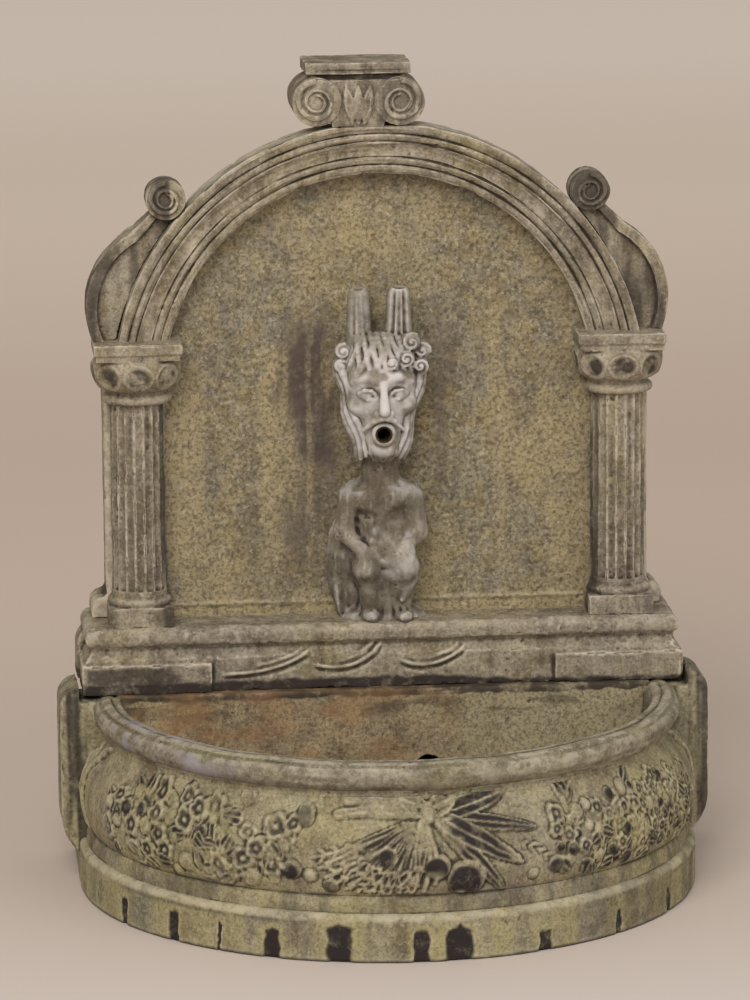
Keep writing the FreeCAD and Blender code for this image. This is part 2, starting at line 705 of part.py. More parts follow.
# crown: Ionic capital with a spiral band on each volute
crown = new_body("crown_capital", "crown_x", "slab_front - crown_front", "seat_z")
bell = outline(new_sketch(crown, "crown_bell", "XZ_Plane"), [
    ("-volute_x * 0.62", "0"),
    ("volute_x * 0.62", "0", -0.25),
    ("volute_x", "volute_rise"),
    ("volute_x", "abacus_rise"),
    ("-volute_x", "abacus_rise"),
    ("-volute_x", "volute_rise", -0.25),
])
feature("Pad", crown, "crown_bell_pad", bell, {"Length": "crown_depth - 4"}, reverse=True)
rolls = new_sketch(crown, "crown_rolls", "XZ_Plane", "1")
circle(rolls, "-volute_x", "volute_rise", "volute_radius")
circle(rolls, "volute_x", "volute_rise", "volute_radius")
feature("Pad", crown, "crown_rolls_pad", rolls, {"Length": "crown_depth - 2"}, reverse=True)
bands = new_sketch(crown, "crown_volutes", "XZ_Plane", "1")
outline(bands, spiral("-volute_x", "volute_rise", "volute_radius * 0.97", -1))
outline(bands, spiral("volute_x", "volute_rise", "volute_radius * 0.97", 1))
feature("Pad", crown, "crown_volutes_pad", bands, {"Length": "volute_relief"})
leaves = new_sketch(crown, "crown_leaves", "XZ_Plane")
for spread in (-1, 0, 1):
    foot = "%d * volute_x * 0.14" % spread
    tip = "%d * volute_x * 0.3" % spread
    outline(leaves, [(foot, "1", 0.22), (tip, "abacus_rise - 1.5", 0.22)])
feature("Pad", crown, "crown_leaves_pad", leaves, {"Length": "volute_relief"})
for label, low, tall, inset in (
        ("crown_cyma", "abacus_rise", "crown_top * 0.35", "2.5"),
        ("crown_abacus_slab", "abacus_rise + crown_top * 0.35", "crown_top * 0.65", "0")):
    plan = new_sketch(crown, label + "_plan", "XY_Plane", low)
    rectangle(plan, "-(crown_abacus - %s)" % inset, "-1 + %s" % inset, "crown_abacus - %s" % inset,
              "crown_depth - 2 - %s" % inset)
    feature("Pad", crown, label, plan, {"Length": tall})
pieces.append(crown)

# spout figure: masses of a crouching horned creature, flat against the slab and seated on the plinth
masses = []
clip = block("2 * plinth_reach", "foot_radius", "2 * mouth_rise", "-plinth_reach", "slab_front - foot_radius",
             "plinth_top")


def keep(made):
    """Leave only what stands on the plinth in front of the slab."""
    kept = doc.addObject("Part::Common", "mass_on_wall")
    kept.Base = made
    kept.Tool = clip
    masses.append(kept)


def limb(near, far, thick, thin):
    """A tapering rounded limb between two points; its end radii are in units of the figure's grid.

    Each end is cut to a small flat, so that the surface has no pole.
    """
    start = VEC(value(near[0]), -value(near[1]), value(near[2]))
    stop = VEC(value(far[0]), -value(far[1]), value(far[2]))
    length = (stop - start).Length / value("figure_unit")
    slope = (thick - thin) / length
    level = math.sqrt(1 - slope * slope)
    flat = 0.8
    low = -math.sqrt(thick * thick - flat * flat)
    high = length + math.sqrt(thin * thin - flat * flat)

    def units(amount):
        return "%.6f * figure_unit" % amount

    sketch = outline(doc.addObject("Sketcher::SketchObject", "limb_section"), [
        ("0", units(low)),
        (units(flat), units(low), ("0", "0", 1)),
        (units(thick * level), units(thick * slope)),
        (units(thin * level), units(length + thin * slope), ("0", units(length), 1)),
        (units(flat), units(high)),
        ("0", units(high)),
    ])
    made = doc.addObject("Part::Revolution", "limb")
    made.Source = sketch
    made.Axis = VEC(0, 1, 0)
    made.Angle = 360
    made.Solid = True
    made.Placement = FreeCAD.Placement(VEC(0, 0, 0), FreeCAD.Rotation(VEC(0, 1, 0), stop - start))
    keep(put(made, near[0], "slab_front - (%s)" % near[1], "plinth_top + (%s)" % near[2]))


def trunk(x, out, up):
    """A point of the body on the figure's grid: sideways, out from the slab, up from the plinth."""
    return ("%s * figure_unit" % x, "%s * figure_unit" % out, "%s * figure_unit" % up)


def head(x, out, up):
    """A point of the head, measured from the mouth: sideways, back from the lips, up."""
    depth = "mouth_reach - %s * figure_unit" % out
    return ("%s * figure_unit" % x, depth, "mouth_rise + (%s) * figure_unit" % up)


limb(head(0, 18.5, 25), head(0, 18.5, 27), 19.5, 19.4)
limb(head(0, 18, 21), head(0, 11, 1), 17.5, 11)
limb(trunk(0, 17, 86), trunk(0, 13, 64), 10.5, 12)
limb(trunk(0, 11, 58), trunk(0, 11, 24), 16.5, 15)
limb(trunk(-11.4, 12.6, 61.6), trunk(12.2, 12.2, 60.7), 8.7, 8)
for hand in (-1, 1):
    limb(head(hand * 9.5, 19, 40), head(hand * 10.5, 20.5, 61), 5.6, 4.2)
    limb(head(hand * 16, 13, 36), head(hand * 17, 13, 38), 6.2, 6.1)
    limb(head(hand * 18.5, 20, 20), head(hand * 12.5, 17, -8), 4.6, 3)
    limb(trunk(hand * 17, 13, 59), trunk(hand * 19, 16, 40), 6.4, 5.4)
    limb(trunk(hand * 19, 16, 40), trunk(hand * 14, 24, 30), 5.3, 4.6)
    limb(trunk(hand * 8, 10, 19), trunk(hand * 14.5, 20, 25), 11, 8.6)
    limb(trunk(hand * 14.5, 20, 25), trunk(hand * 13, 17, 6), 7.8, 6.4)
creature = fused("creature", masses)
mouth_y = "slab_front - mouth_reach"
flare = prim("Cone", {"Radius1": "pipe_radius + fit_gap", "Radius2": "pipe_radius + 2", "Height": "8"},
             "0", mouth_y + " + 6", "mouth_z", (0, -1, 0))
pieces.append(cut("spout_figure", creature, [
    rod("pipe_radius + fit_gap", "mouth_reach + 4", "0", mouth_y + " - 2", "mouth_z", (0, 1, 0)),
    flare,
]))

# water line: pipe through the figure, elbow in the channel, tube down to the pump
pipe_rear = "riser_y - pipe_radius"
pipe_front = mouth_y + " + pipe_recess"
pipe_run = "%s - (%s)" % (pipe_rear, pipe_front)
pieces.append(cut("spout_pipe", rod("pipe_radius", pipe_run, "0", pipe_front, "mouth_z", (0, 1, 0)), [
    rod("pipe_bore", pipe_run + " + 2", "0", pipe_front + " - 1", "mouth_z", (0, 1, 0)),
]))
elbow_skin = fused("elbow_skin", [
    prim("Sphere", {"Radius": "tube_radius"}, "0", "riser_y", "mouth_z"),
    rod("tube_radius", "tube_radius + 2", "0", "riser_y", "mouth_z", (0, -1, 0)),
    rod("tube_radius", "tube_radius + 1", "0", "riser_y", "mouth_z - tube_radius - 1"),
    rod("tube_bore - fit_gap / 2", "14", "0", "riser_y", "mouth_z - tube_radius - 13"),
])
pieces.append(cut("spout_elbow", elbow_skin, [
    rod("pipe_radius + fit_gap / 2", "tube_radius", "0", pipe_rear, "mouth_z", (0, -1, 0)),
    rod("pipe_bore", "pipe_radius + 1", "0", "riser_y", "mouth_z", (0, -1, 0)),
    rod("pipe_bore", "tube_radius + 15", "0", "riser_y", "mouth_z - tube_radius - 14"),
]))
barb_foot = "drum_top + 3"
tube_low = "drum_top + barb_length - 12"
tube = new_body("riser_tube", "0", "pump_y", tube_low)
ring = new_sketch(tube, "tube_ring", "XY_Plane")
circle(ring, "0", "0", "tube_radius")
circle(ring, "0", "0", "tube_bore")
shift = "(riser_y - pump_y)"
rise_half = "sqrt(bend_radius^2 - (bend_radius - %s / 2)^2)" % shift
first = "(basin_height - 6 - (%s))" % tube_low
path = outline(new_sketch(tube, "tube_path", "YZ_Plane"), [
    ("0", "0"),
    ("0", first, ("bend_radius", first, -1)),
    (shift + " / 2", "%s + %s" % (first, rise_half),
     (shift + " - bend_radius", "%s + 2 * %s" % (first, rise_half), 1)),
    (shift, "%s + 2 * %s" % (first, rise_half)),
    (shift, "mouth_z - tube_radius - 1 - (%s)" % tube_low),
], closed=False)
sweep = tube.newObject("PartDesign::AdditivePipe", "tube_sweep")
sweep.Profile = ring
sweep.Spine = path
pieces.append(tube)

# pump: motor block with rotor well and volute drum, on four suction cups
motor = new_body("motor_block", "drum_half", "pump_y", "pool_floor + cup_height")
plan = new_sketch(motor, "motor_plan", "XY_Plane")
rectangle(plan, "0", "-motor_width / 2", "motor_length", "motor_width / 2")
motor_pad = feature("Pad", motor, "motor_pad", plan, {"Length": "motor_height"})
doc.recompute()
round_edges = edges_where(motor_pad.Shape, lambda edge: edge.BoundBox.XLength > 1
                          or (edge.BoundBox.ZLength > 1 and edge.BoundBox.XMin > 1))
fillet(motor, "motor_round_edges", motor_pad, round_edges, "motor_round")
along = (1, 0, 0)
housing_solid = fused("housing_solid", [
    motor,
    rod("drum_radius", "2 * drum_half + 2", "-drum_half", "pump_y", "axle_z", along),
    rod("barb_radius + 2.5", "drum_radius + 3", "0", "pump_y", "axle_z"),
])
seal_groove = cut("seal_groove",
                  rod("seal_radius + seal_half", "2 * seal_half", "-drum_half", "pump_y", "axle_z", along),
                  [rod("seal_radius - seal_half", "2 * seal_half", "-drum_half", "pump_y", "axle_z", along)])
pieces.append(cut("pump_housing", housing_solid, [
    rod("drum_bore", "2 * drum_half", "-drum_half", "pump_y", "axle_z", along),
    rod("well_radius", "well_depth", "drum_half", "pump_y", "axle_z", along),
    rod("bush_radius", "bush_length", "drum_half + well_depth", "pump_y", "axle_z", along),
    rod("barb_bore", "drum_radius + 4", "0", "pump_y", "axle_z"),
    seal_groove,
]))
pieces.append(prim("Torus", {"Radius1": "seal_radius", "Radius2": "seal_half"},
                   "seal_half - drum_half", "pump_y", "axle_z", along, "cover_seal"))
barb_solid = fused("barb_solid", [
    rod("barb_radius + 2.5", "2", "0", "pump_y", barb_foot),
    rod("barb_radius - 0.4", "barb_length - 3", "0", "pump_y", barb_foot),
    prim("Cone", {"Radius1": "barb_radius", "Radius2": "barb_radius - 1", "Height": "4"},
         "0", "pump_y", "drum_top + barb_length - 4"),
    prim("Cone", {"Radius1": "barb_radius", "Radius2": "barb_radius - 1", "Height": "4"},
         "0", "pump_y", "drum_top + barb_length - 9"),
])
pieces.append(cut("outlet_barb", barb_solid, [
    rod("barb_bore", "barb_length", "0", "pump_y", barb_foot + " - 1"),
]))
cups = []
for x in ("drum_half + 6", "drum_half + motor_length - 6"):
    for hand in (-1, 1):
        y = "pump_y + %d * (motor_width / 2 - 6)" % hand
        dome = prim("Cone", {"Radius1": "cup_radius", "Radius2": "cup_radius / 2", "Height": "cup_height"},
                    x, y, "pool_floor")
        inside = {"Radius1": "cup_radius - 1", "Radius2": "cup_radius / 4", "Height": "cup_height / 2"}
        hollow = prim("Cone", inside, x, y, "pool_floor")
        cups.append(cut("cup", dome, [hollow]))
pieces.append(group("suction_cups", cups))
gland_x = "drum_half + motor_length"
pieces.append(cut("cable_gland", fused("gland_solid", [
    rod("gland_radius", "3", gland_x, "pump_y", "axle_z", along),
    rod("gland_radius * 0.72", "10", gland_x, "pump_y", "axle_z", along),
    rod("gland_radius * 0.86", "1.4", gland_x + " + 4.6", "pump_y", "axle_z", along),
    rod("gland_radius * 0.86", "1.4", gland_x + " + 7.4", "pump_y", "axle_z", along),
]), [rod("gland_radius * 0.45", "8", gland_x + " + 3", "pump_y", "axle_z", along)]))
pin_tail = "drum_half + well_depth + bush_length"
pieces.append(prim("Cylinder", {"Radius": "pin_radius", "Height": pin_tail + " + drum_half - 0.5"},
                   "0.5 - drum_half", "pump_y", "axle_z", along, "impeller_shaft"))
well_end = "drum_half + well_depth"
pieces.append(cut("rear_bush", rod("bush_radius", "bush_length", well_end, "pump_y", "axle_z", along),
                  [rod("pin_radius", "bush_length", well_end, "pump_y", "axle_z", along)]))
pieces.append(cut("front_bush", rod("bush_radius", "bush_length", "-drum_half", "pump_y", "axle_z", along),
                  [rod("pin_radius + run_gap", "bush_length", "-drum_half", "pump_y", "axle_z", along)]))

# impeller: magnet rotor, hub, disc and vanes on a running bore
hub_front = "bush_length + 1 - drum_half"
wheel = [
    rod("well_radius - rotor_gap", "well_depth - 1", "drum_half + 0.5", "pump_y", "axle_z", along),
    rod("well_radius * 0.6", "2 * drum_half - bush_length", hub_front, "pump_y", "axle_z", along),
    rod("drum_bore - 1", "1.6", "drum_half - 3", "pump_y", "axle_z", along),
]
for n in range(6):
    vane = block("2 * drum_half - bush_length - 3", "1.4", "drum_bore - 1.2", "0", "0", "0")
    holder = doc.addObject("Part::Compound", "vane")
    holder.Links = [vane]
    holder.Placement = FreeCAD.Placement(VEC(0, 0, 0), FreeCAD.Rotation(VEC(1, 0, 0), 60 * n))
    put(holder, hub_front, "pump_y", "axle_z")
    wheel.append(holder)
pieces.append(cut("impeller", fused("impeller_solid", wheel), [
    rod("pin_radius + run_gap", "well_depth + 2 * drum_half + 4", "-drum_half", "pump_y", "axle_z", along),
]))

# intake cover with ports, and the dial that opens and closes them
cover_x = "-drum_half - cover_plate"
cover_solid = fused("cover_solid", [
    rod("drum_radius", "cover_plate", cover_x, "pump_y", "axle_z", along),
    rod("bush_radius + 1.2", "cover_plate + bush_length", cover_x, "pump_y", "axle_z", along),
    rod("dial_stub", "dial_plate + 2", cover_x + " - dial_plate - 1", "pump_y", "axle_z", along),
    rod("dial_stub + 1.4", "1.2", cover_x + " - dial_plate - 1.4", "pump_y", "axle_z", along),
])
dial_x = cover_x + " - dial_plate - 0.1"
dial_solid = fused("dial_solid", [
    rod("drum_radius - 1", "dial_plate", dial_x, "pump_y", "axle_z", along),
    block("3", "2.4", "6", dial_x + " - 2", "pump_y - 1.2", "axle_z + drum_radius - 8"),
])


def ports(start, length):
    """Ring of intake ports along X."""
    holes = []
    for n in range(8):
        turn = math.radians(45 * n + 22.5)
        holes.append(rod("port_radius", length, start, "pump_y + port_circle * (%.6f)" % math.cos(turn),
                         "axle_z + port_circle * (%.6f)" % math.sin(turn), along))
    return holes


pieces.append(cut("pump_cover", cover_solid, ports(cover_x + " - 1", "cover_plate + 2")
                  + [rod("bush_radius", "bush_length + 1", "-drum_half", "pump_y", "axle_z", along)]))
dial_holes = ports(dial_x + " - 1", "dial_plate + 2")
dial_holes.append(rod("dial_stub + run_gap", "dial_plate + 2", dial_x + " - 1", "pump_y", "axle_z", along))
pieces.append(cut("flow_dial", dial_solid, dial_holes))

doc.recompute()
faults = [item.Label for item in doc.Objects if "Invalid" in item.State or "Error" in item.State]
if faults:
    raise RuntimeError("features in error: " + ", ".join(faults))
for piece in pieces:
    if piece.Shape.isNull() or not piece.Shape.isValid():
        raise RuntimeError("bad shape: " + piece.Label)
os.makedirs("parts", exist_ok=True)
for piece in pieces:
    piece.Shape.exportStep("parts/%s.step" % piece.Label)
    print("%-16s %3d solids %10.1f mm3" % (piece.Label, len(piece.Shape.Solids), piece.Shape.Volume))
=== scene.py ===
import itertools
import math

import bmesh
import bpy
import numpy as np
from mathutils import Matrix, Vector


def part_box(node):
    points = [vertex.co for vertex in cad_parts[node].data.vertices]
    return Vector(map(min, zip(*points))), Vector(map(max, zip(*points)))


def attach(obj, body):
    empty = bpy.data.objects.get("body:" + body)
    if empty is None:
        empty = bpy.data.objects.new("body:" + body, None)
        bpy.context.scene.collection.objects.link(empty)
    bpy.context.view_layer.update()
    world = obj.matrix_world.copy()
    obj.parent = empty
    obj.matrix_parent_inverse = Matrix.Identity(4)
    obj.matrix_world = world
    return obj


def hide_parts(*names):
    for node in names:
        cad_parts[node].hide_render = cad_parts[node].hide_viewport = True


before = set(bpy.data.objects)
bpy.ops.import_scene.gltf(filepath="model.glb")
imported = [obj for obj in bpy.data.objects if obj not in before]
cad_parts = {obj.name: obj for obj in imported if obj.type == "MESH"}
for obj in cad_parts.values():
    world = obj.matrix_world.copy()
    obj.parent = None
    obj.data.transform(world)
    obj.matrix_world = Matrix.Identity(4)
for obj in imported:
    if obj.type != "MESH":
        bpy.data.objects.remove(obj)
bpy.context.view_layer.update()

MM = 0.001
RNG = np.random.default_rng(41)
draw = RNG.uniform


def corners(node):
    """Lowest and highest corner of a node, in millimetres."""
    return np.array(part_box(node)) / MM


# Sizes read from the frame, in millimetres
BASIN_LOW, BASIN_HIGH = corners("basin")
PLINTH_LOW, PLINTH_HIGH = corners("plinth")
FIGURE_LOW, FIGURE_HIGH = corners("spout_figure")
ARCH_LOW, ARCH_HIGH = corners("arch_moulding")
CROWN_LOW, CROWN_HIGH = corners("crown_capital")
CAPITAL_Z = corners("left_capital")[0][2]
SLAB_FRONT = corners("back_slab")[0][1]
MOUTH_Z = corners("spout_pipe")[:, 2].mean()
FOOT_RADIUS = BASIN_HIGH[0]
BACK_Y = BASIN_HIGH[1]
BOW_Y = BASIN_LOW[1] + FOOT_RADIUS
RIM_Z = BASIN_HIGH[2]
PLINTH_TOP = PLINTH_HIGH[2]

# Basin section, as in the solid: foot, waist and neck as (radius, height), and the round lip
FOOT_HEIGHT = 21
FOOT_ROUND = 2.2
WAIST = (FOOT_RADIUS - 4.5, FOOT_HEIGHT + 8.5)
NECK = (FOOT_RADIUS - 14, RIM_Z - 17)
LIP_HALF = 5.9
LIP_MIDDLE = FOOT_RADIUS - 7.7 - LIP_HALF
LIP_LEVEL = RIM_Z - LIP_HALF
BELLY_RADIUS = FOOT_RADIUS - 4

# Body of the pieces, paired with a slot name
BASE = ("base", "basin_stone")
WALL = ("wall", "wall_stone")
FIGURE = ("wall", "figure_stone")


# Noise over lists or grids of points

def lattice(ix, iy, iz, seed):
    """Hash of whole-number lattice points to -1..1."""
    n = ix * 73856093 ^ iy * 19349663 ^ iz * 83492791 ^ (seed * 26544357)
    n = (n ^ (n >> 13)) * 1274126177
    n = (n ^ (n >> 16)) & 0x7FFFFFFF
    return n / 0x3FFFFFFF - 1.0


def noise(points, size, seed=0):
    """Smooth value noise from -1 to 1 with cells of the given size in millimetres."""
    q = points / size
    cell = np.floor(q).astype(np.int64)
    f = q - cell
    u = f * f * (3 - 2 * f)
    total = 0
    for corner in itertools.product((0, 1), repeat=3):
        wx, wy, wz = [u[..., k] if on else 1 - u[..., k] for k, on in enumerate(corner)]
        total = total + wx * wy * wz * lattice(*[cell[..., k] + on for k, on in enumerate(corner)], seed)
    return total


def fractal(points, size, seed=0, octaves=3):
    total = 0
    for n in range(octaves):
        total = total + noise(points, size * 0.5 ** n, seed + 17 * n) * 0.5 ** n
    return total


def nearest(points, size, seed=0):
    """Distance to the nearest scattered point, as a share of the cell size."""
    q = points / size
    cell = np.floor(q).astype(np.int64)
    best = np.full(points.shape[:-1], 9.0)
    for step in itertools.product((-1, 0, 1), repeat=3):
        c = cell + step
        jitter = np.stack([lattice(c[..., 0], c[..., 1], c[..., 2], seed + k) for k in range(3)], -1)
        best = np.minimum(best, ((q - (c + 0.5 + 0.45 * jitter)) ** 2).sum(-1))
    return np.sqrt(best)


def ramp(x, low, high, least=0.0):
    """Smooth step from least at low to 1 at high."""
    t = np.clip((x - low) / (high - low), 0, 1)
    return least + (1 - least) * t * t * (3 - 2 * t)


def bell(x, width):
    return np.exp(-(x / width) ** 2)


def patches(points, size, seed, low, high, least=0.0, octaves=3):
    """Clouds of fractal noise, least below low and 1 above high."""
    return ramp(fractal(points, size, seed, octaves), low, high, least)


def pitted(points, size, seed):
    """Ragged pits of uneven depth, from 0 to 1."""
    ragged = np.stack([noise(points, size * 0.45, seed + k) for k in range(3)], -1)
    deep = ramp(noise(points, size * 1.6, seed + 7), -0.1, 0.7)
    return deep * ramp(nearest(points + 0.3 * size * ragged, size, seed + 9), 0.4, 0.1)


# Meshes

def linked(name, data):
    obj = bpy.data.objects.new(name, data)
    bpy.context.scene.collection.objects.link(obj)
    return obj


def new_object(name, points, faces):
    """Smooth mesh object from a list or grid of points in millimetres."""
    mesh = bpy.data.meshes.new(name)
    mesh.from_pydata((points.reshape(-1, 3) * MM).tolist(), [], faces.tolist())
    mesh.update()
    mesh.shade_smooth()
    return linked(name, mesh)


def grid_faces(rows, columns, closed=False):
    index = np.arange(rows * columns).reshape(rows, columns)
    if closed:
        index = np.concatenate([index, index[:, :1]], 1)
    return np.stack([index[:-1, :-1], index[1:, :-1], index[1:, 1:], index[:-1, 1:]], 2).reshape(-1, 4)


def read(items, field, width, kind=float):
    out = np.empty(len(items) * width, kind)
    items.foreach_get(field, out)
    return out.reshape(-1, width)


def points_of(obj):
    return read(obj.data.vertices, "co", 3) / MM


def normals_of(obj):
    return read(obj.data.vertex_normals, "vector", 3)


def put_points(obj, points):
    obj.data.vertices.foreach_set("co", (points * MM).ravel())
    obj.data.update()


def relaxed(obj, times, points=None, share=0.5):
    """An object's points, or others in their place, drawn towards their neighbours a number of times."""
    out = points_of(obj) if points is None else points.copy()
    edges = read(obj.data.edges, "vertices", 2, np.int64)
    count = len(out)
    both = np.concatenate([edges[:, 0], edges[:, 1]])
    other = np.concatenate([edges[:, 1], edges[:, 0]])
    near = np.maximum(np.bincount(both, minlength=count), 1)
    for _ in range(times):
        mean = np.stack([np.bincount(both, out[other, k], minlength=count) for k in range(3)], 1)
        out += share * (mean / near[:, None] - out)
    return out


def below(obj, surface):
    """How far each point of an object lies below a smoothed surface."""
    return ((surface - points_of(obj)) * normals_of(obj)).sum(1)


def sunken(obj, times=14):
    """How far each point lies below its smoothed surroundings."""
    return below(obj, relaxed(obj, times))


def remeshed(node, voxel, smooth):
    """Copy of a node's mesh as an even skin of quads with softened edges."""
    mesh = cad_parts[node].data.copy()
    form = bmesh.new()
    form.from_mesh(mesh)
    bmesh.ops.remove_doubles(form, verts=form.verts, dist=0.00001)
    form.to_mesh(mesh)
    form.free()
    rough = linked(node + "_rough", mesh)
    modifier = rough.modifiers.new("even", "REMESH")
    modifier.mode = "VOXEL"
    modifier.voxel_size = voxel * MM
    even = bpy.data.meshes.new_from_object(rough.evaluated_get(bpy.context.evaluated_depsgraph_get()))
    bpy.data.objects.remove(rough)
    bpy.data.meshes.remove(mesh)
    even.name = node + "_cast"
    even.materials.clear()
    even.shade_smooth()
    obj = linked(node + "_cast", even)
    put_points(obj, relaxed(obj, smooth))
    return obj


def weathered(obj, wobble=0.3, grain=0.12, chips=0.7, pits=0.3, carve=None):
    """Push a skin in and out: casting wobble, grain, chipped ridges, and a carving function of points."""
    points = points_of(obj)
    normals = normals_of(obj)
    push = wobble * fractal(points, 16, 3) + grain * fractal(points, 2.6, 5, 2)
    push -= chips * patches(points, 7, 11, 0.12, 0.5) * ramp(-sunken(obj, 12), 0.06, 0.3)
    push -= pits * pitted(points, 4.5, 23)
    if carve is not None:
        push += carve(points, normals)
    put_points(obj, points + normals * push[:, None])


def cast(node, voxel, smooth, **wear):
    """Even, softened and weathered copy of a node, with its points."""
    obj = remeshed(node, voxel, smooth)
    weathered(obj, **wear)
    return obj, points_of(obj)


def finish_piece(obj, home, material, stain=0.0, tone=0.0, dirt_and_shade=-np.inf):
    """Keep a piece's masks, give it its material and hang it from its body; a cast piece stands for the node
    in its name.

    The masks are how far each point lies in a hollow (above 0) or on a ridge (below 0), finely and
    broadly, and two painted ones, which on some pieces also carry painted shade and painted light.
    Dirt and painted shade add to the broad hollows.
    """
    fine = relaxed(obj, 5)
    broad = below(obj, relaxed(obj, 40, fine))
    broad = np.maximum(broad, np.ravel(dirt_and_shade))
    masks = {"hollow": below(obj, fine), "broad": broad, "stain": stain, "tone": tone}
    for name, values in masks.items():
        values = np.broadcast_to(np.ravel(values), len(fine))
        layer = obj.data.attributes.new(name, "FLOAT", "POINT")
        layer.data.foreach_set("value", np.ascontiguousarray(values, np.float32))
    obj.data.materials.append(material)
    body, slot = home
    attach(obj, body)
    node = obj.name.removesuffix("_cast")
    if node != obj.name:
        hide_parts(node)


# Materials

def linear(colour, share=1):
    """Hex sRGB, dimmed to a share, as the linear colour that nodes take."""
    out = []
    for channel in bytes.fromhex(colour):
        c = channel * share / 255
        out.append(c / 12.92 if c <= 0.04045 else ((c + 0.055) / 1.055) ** 2.4)
    return (*out, 1)


class Nodes:
    """Short spellings for the nodes of one material."""

    def __init__(self, name):
        self.material = bpy.data.materials.new(name)
        self.material.use_nodes = True
        self.tree = self.material.node_tree
        self.place = self.add("ShaderNodeTexCoord", "Object", {})

    def feed(self, socket, entry):
        """Give a socket another's output, a hex colour or a plain value."""
        if isinstance(entry, bpy.types.NodeSocket):
            self.tree.links.new(entry, socket)
        else:
            socket.default_value = linear(entry) if isinstance(entry, str) else entry

    def add(self, kind, output, inputs, **settings):
        """One output of a new node."""
        node = self.tree.nodes.new(kind)
        for key, entry in settings.items():
            setattr(node, key, entry)
        for key, entry in inputs.items():
            self.feed(node.inputs[key], entry)
        return node.outputs[output]

    def shade(self, inputs):
        """Feed the material's shader."""
        for key, entry in inputs.items():
            self.feed(self.tree.nodes["Principled BSDF"].inputs[key], entry)

    def noise(self, scale, detail=4, rough=0.55, stretch=(1, 1, 1), shift=0):
        spot = (shift, shift * 0.7, shift * 1.3)
        mapping = {"Vector": self.place, "Scale": stretch, "Location": spot}
        place = self.add("ShaderNodeMapping", "Vector", mapping)
        inputs = {"Vector": place, "Scale": scale, "Detail": detail, "Roughness": rough}
        return self.add("ShaderNodeTexNoise", "Fac", inputs)

    def attribute(self, name):
        return self.add("ShaderNodeAttribute", "Fac", {}, attribute_name=name)

    def span(self, source, low, high, to_low=0, to_high=1):
        limits = {"Value": source, "From Min": low, "From Max": high, "To Min": to_low, "To Max": to_high}
        return self.add("ShaderNodeMapRange", "Result", limits, clamp=True, interpolation_type="SMOOTHSTEP")

    def math(self, kind, first, second):
        return self.add("ShaderNodeMath", "Value", {0: first, 1: second}, operation=kind)

    def mix(self, amount, first, second):
        """Mixed colour; the node names its sockets alike, so they go by number."""
        return self.add("ShaderNodeMix", 2, {0: amount, 6: first, 7: second}, data_type="RGBA")

    def bump(self, height, strength, distance):
        inputs = {"Strength": strength, "Distance": distance, "Height": height}
        self.shade({"Normal": self.add("ShaderNodeBump", "Normal", inputs)})


TALL = (6, 6, 0.8)


def stone(name, base, layers, pale, dark, stain, tone, speck=0.35, rub=0.8, grime=0.8, grain=650):
    """Patinated cast stone: clouded layers, specks, rubbed ridges, dark hollows and two painted masks.

    A layer is (colour, scale, amount), or (colour, scale, amount, stretch) for streaks.
    """
    n = Nodes(name)
    colour = base
    for k, (tint, scale, amount, *stretch) in enumerate(layers):
        cloud = n.noise(scale, 6, 0.66, *(stretch or [(1, 1, 1)]), 3.7 * (k + 1))
        colour = n.mix(n.span(cloud, 0.45, 0.62, 0, amount), colour, tint)
    fine = n.attribute("hollow")
    broad = n.attribute("broad")
    patchy = n.span(n.noise(85, 5, 0.65, shift=9), 0.32, 0.56, 0.35, 1)
    for tint, mask, broken in (
        (tone, n.attribute("tone"), n.span(n.noise(70, 6, 0.7), 0.3, 0.55, 0.3, 1)),
        (dark, n.span(n.noise(grain, 4, 0.7), 0.46, 0.6, 0, speck), 1),
        (pale, n.span(n.noise(grain * 0.74, 4, 0.7, shift=5), 0.54, 0.66, 0, speck), 1),
        (pale, n.span(fine, -0.02, -0.16, 0, rub), n.span(n.noise(110, 5, 0.65), 0.38, 0.6)),
        (pale, n.span(broad, -0.1, -0.9, 0, rub * 0.6), n.span(n.noise(50, 5, 0.65), 0.4, 0.6)),
        (dark, n.span(fine, 0.02, 0.16, 0, grime), patchy),
        (dark, n.span(broad, 0.12, 0.9, 0, grime), patchy),
        (stain, n.attribute("stain"), n.span(n.noise(150, 5, 0.65), 0.28, 0.5, 0.55, 1)),
    ):
        colour = n.mix(n.math("MULTIPLY", mask, broken), colour, tint)
    n.bump(n.math("ADD", n.noise(520, 4, 0.65), n.noise(1500, 2, 0.5)), 0.5, 0.0004)
    n.shade({"Base Color": colour, "Specular IOR Level": 0.25,
             "Roughness": n.span(n.noise(160, 3), 0.3, 0.7, 0.68, 0.92)})
    return n.material


def plain(name, colour, rough, specular=0.4, metallic=0.0, mottle=0.12, scale=300):
    """Moulded plastic, rubber, ceramic or metal with a faint mottle."""
    n = Nodes(name)
    darker = linear(colour, 1 - mottle)
    n.bump(n.noise(scale * 3, 3), 0.4, 0.00005)
    n.shade({"Base Color": n.mix(n.span(n.noise(scale), 0.35, 0.65), colour, darker),
             "Roughness": n.span(n.noise(scale * 0.4, 3), 0.3, 0.7, rough * 0.85, min(1, rough * 1.15)),
             "Specular IOR Level": specular, "Metallic": metallic})
    return n.material


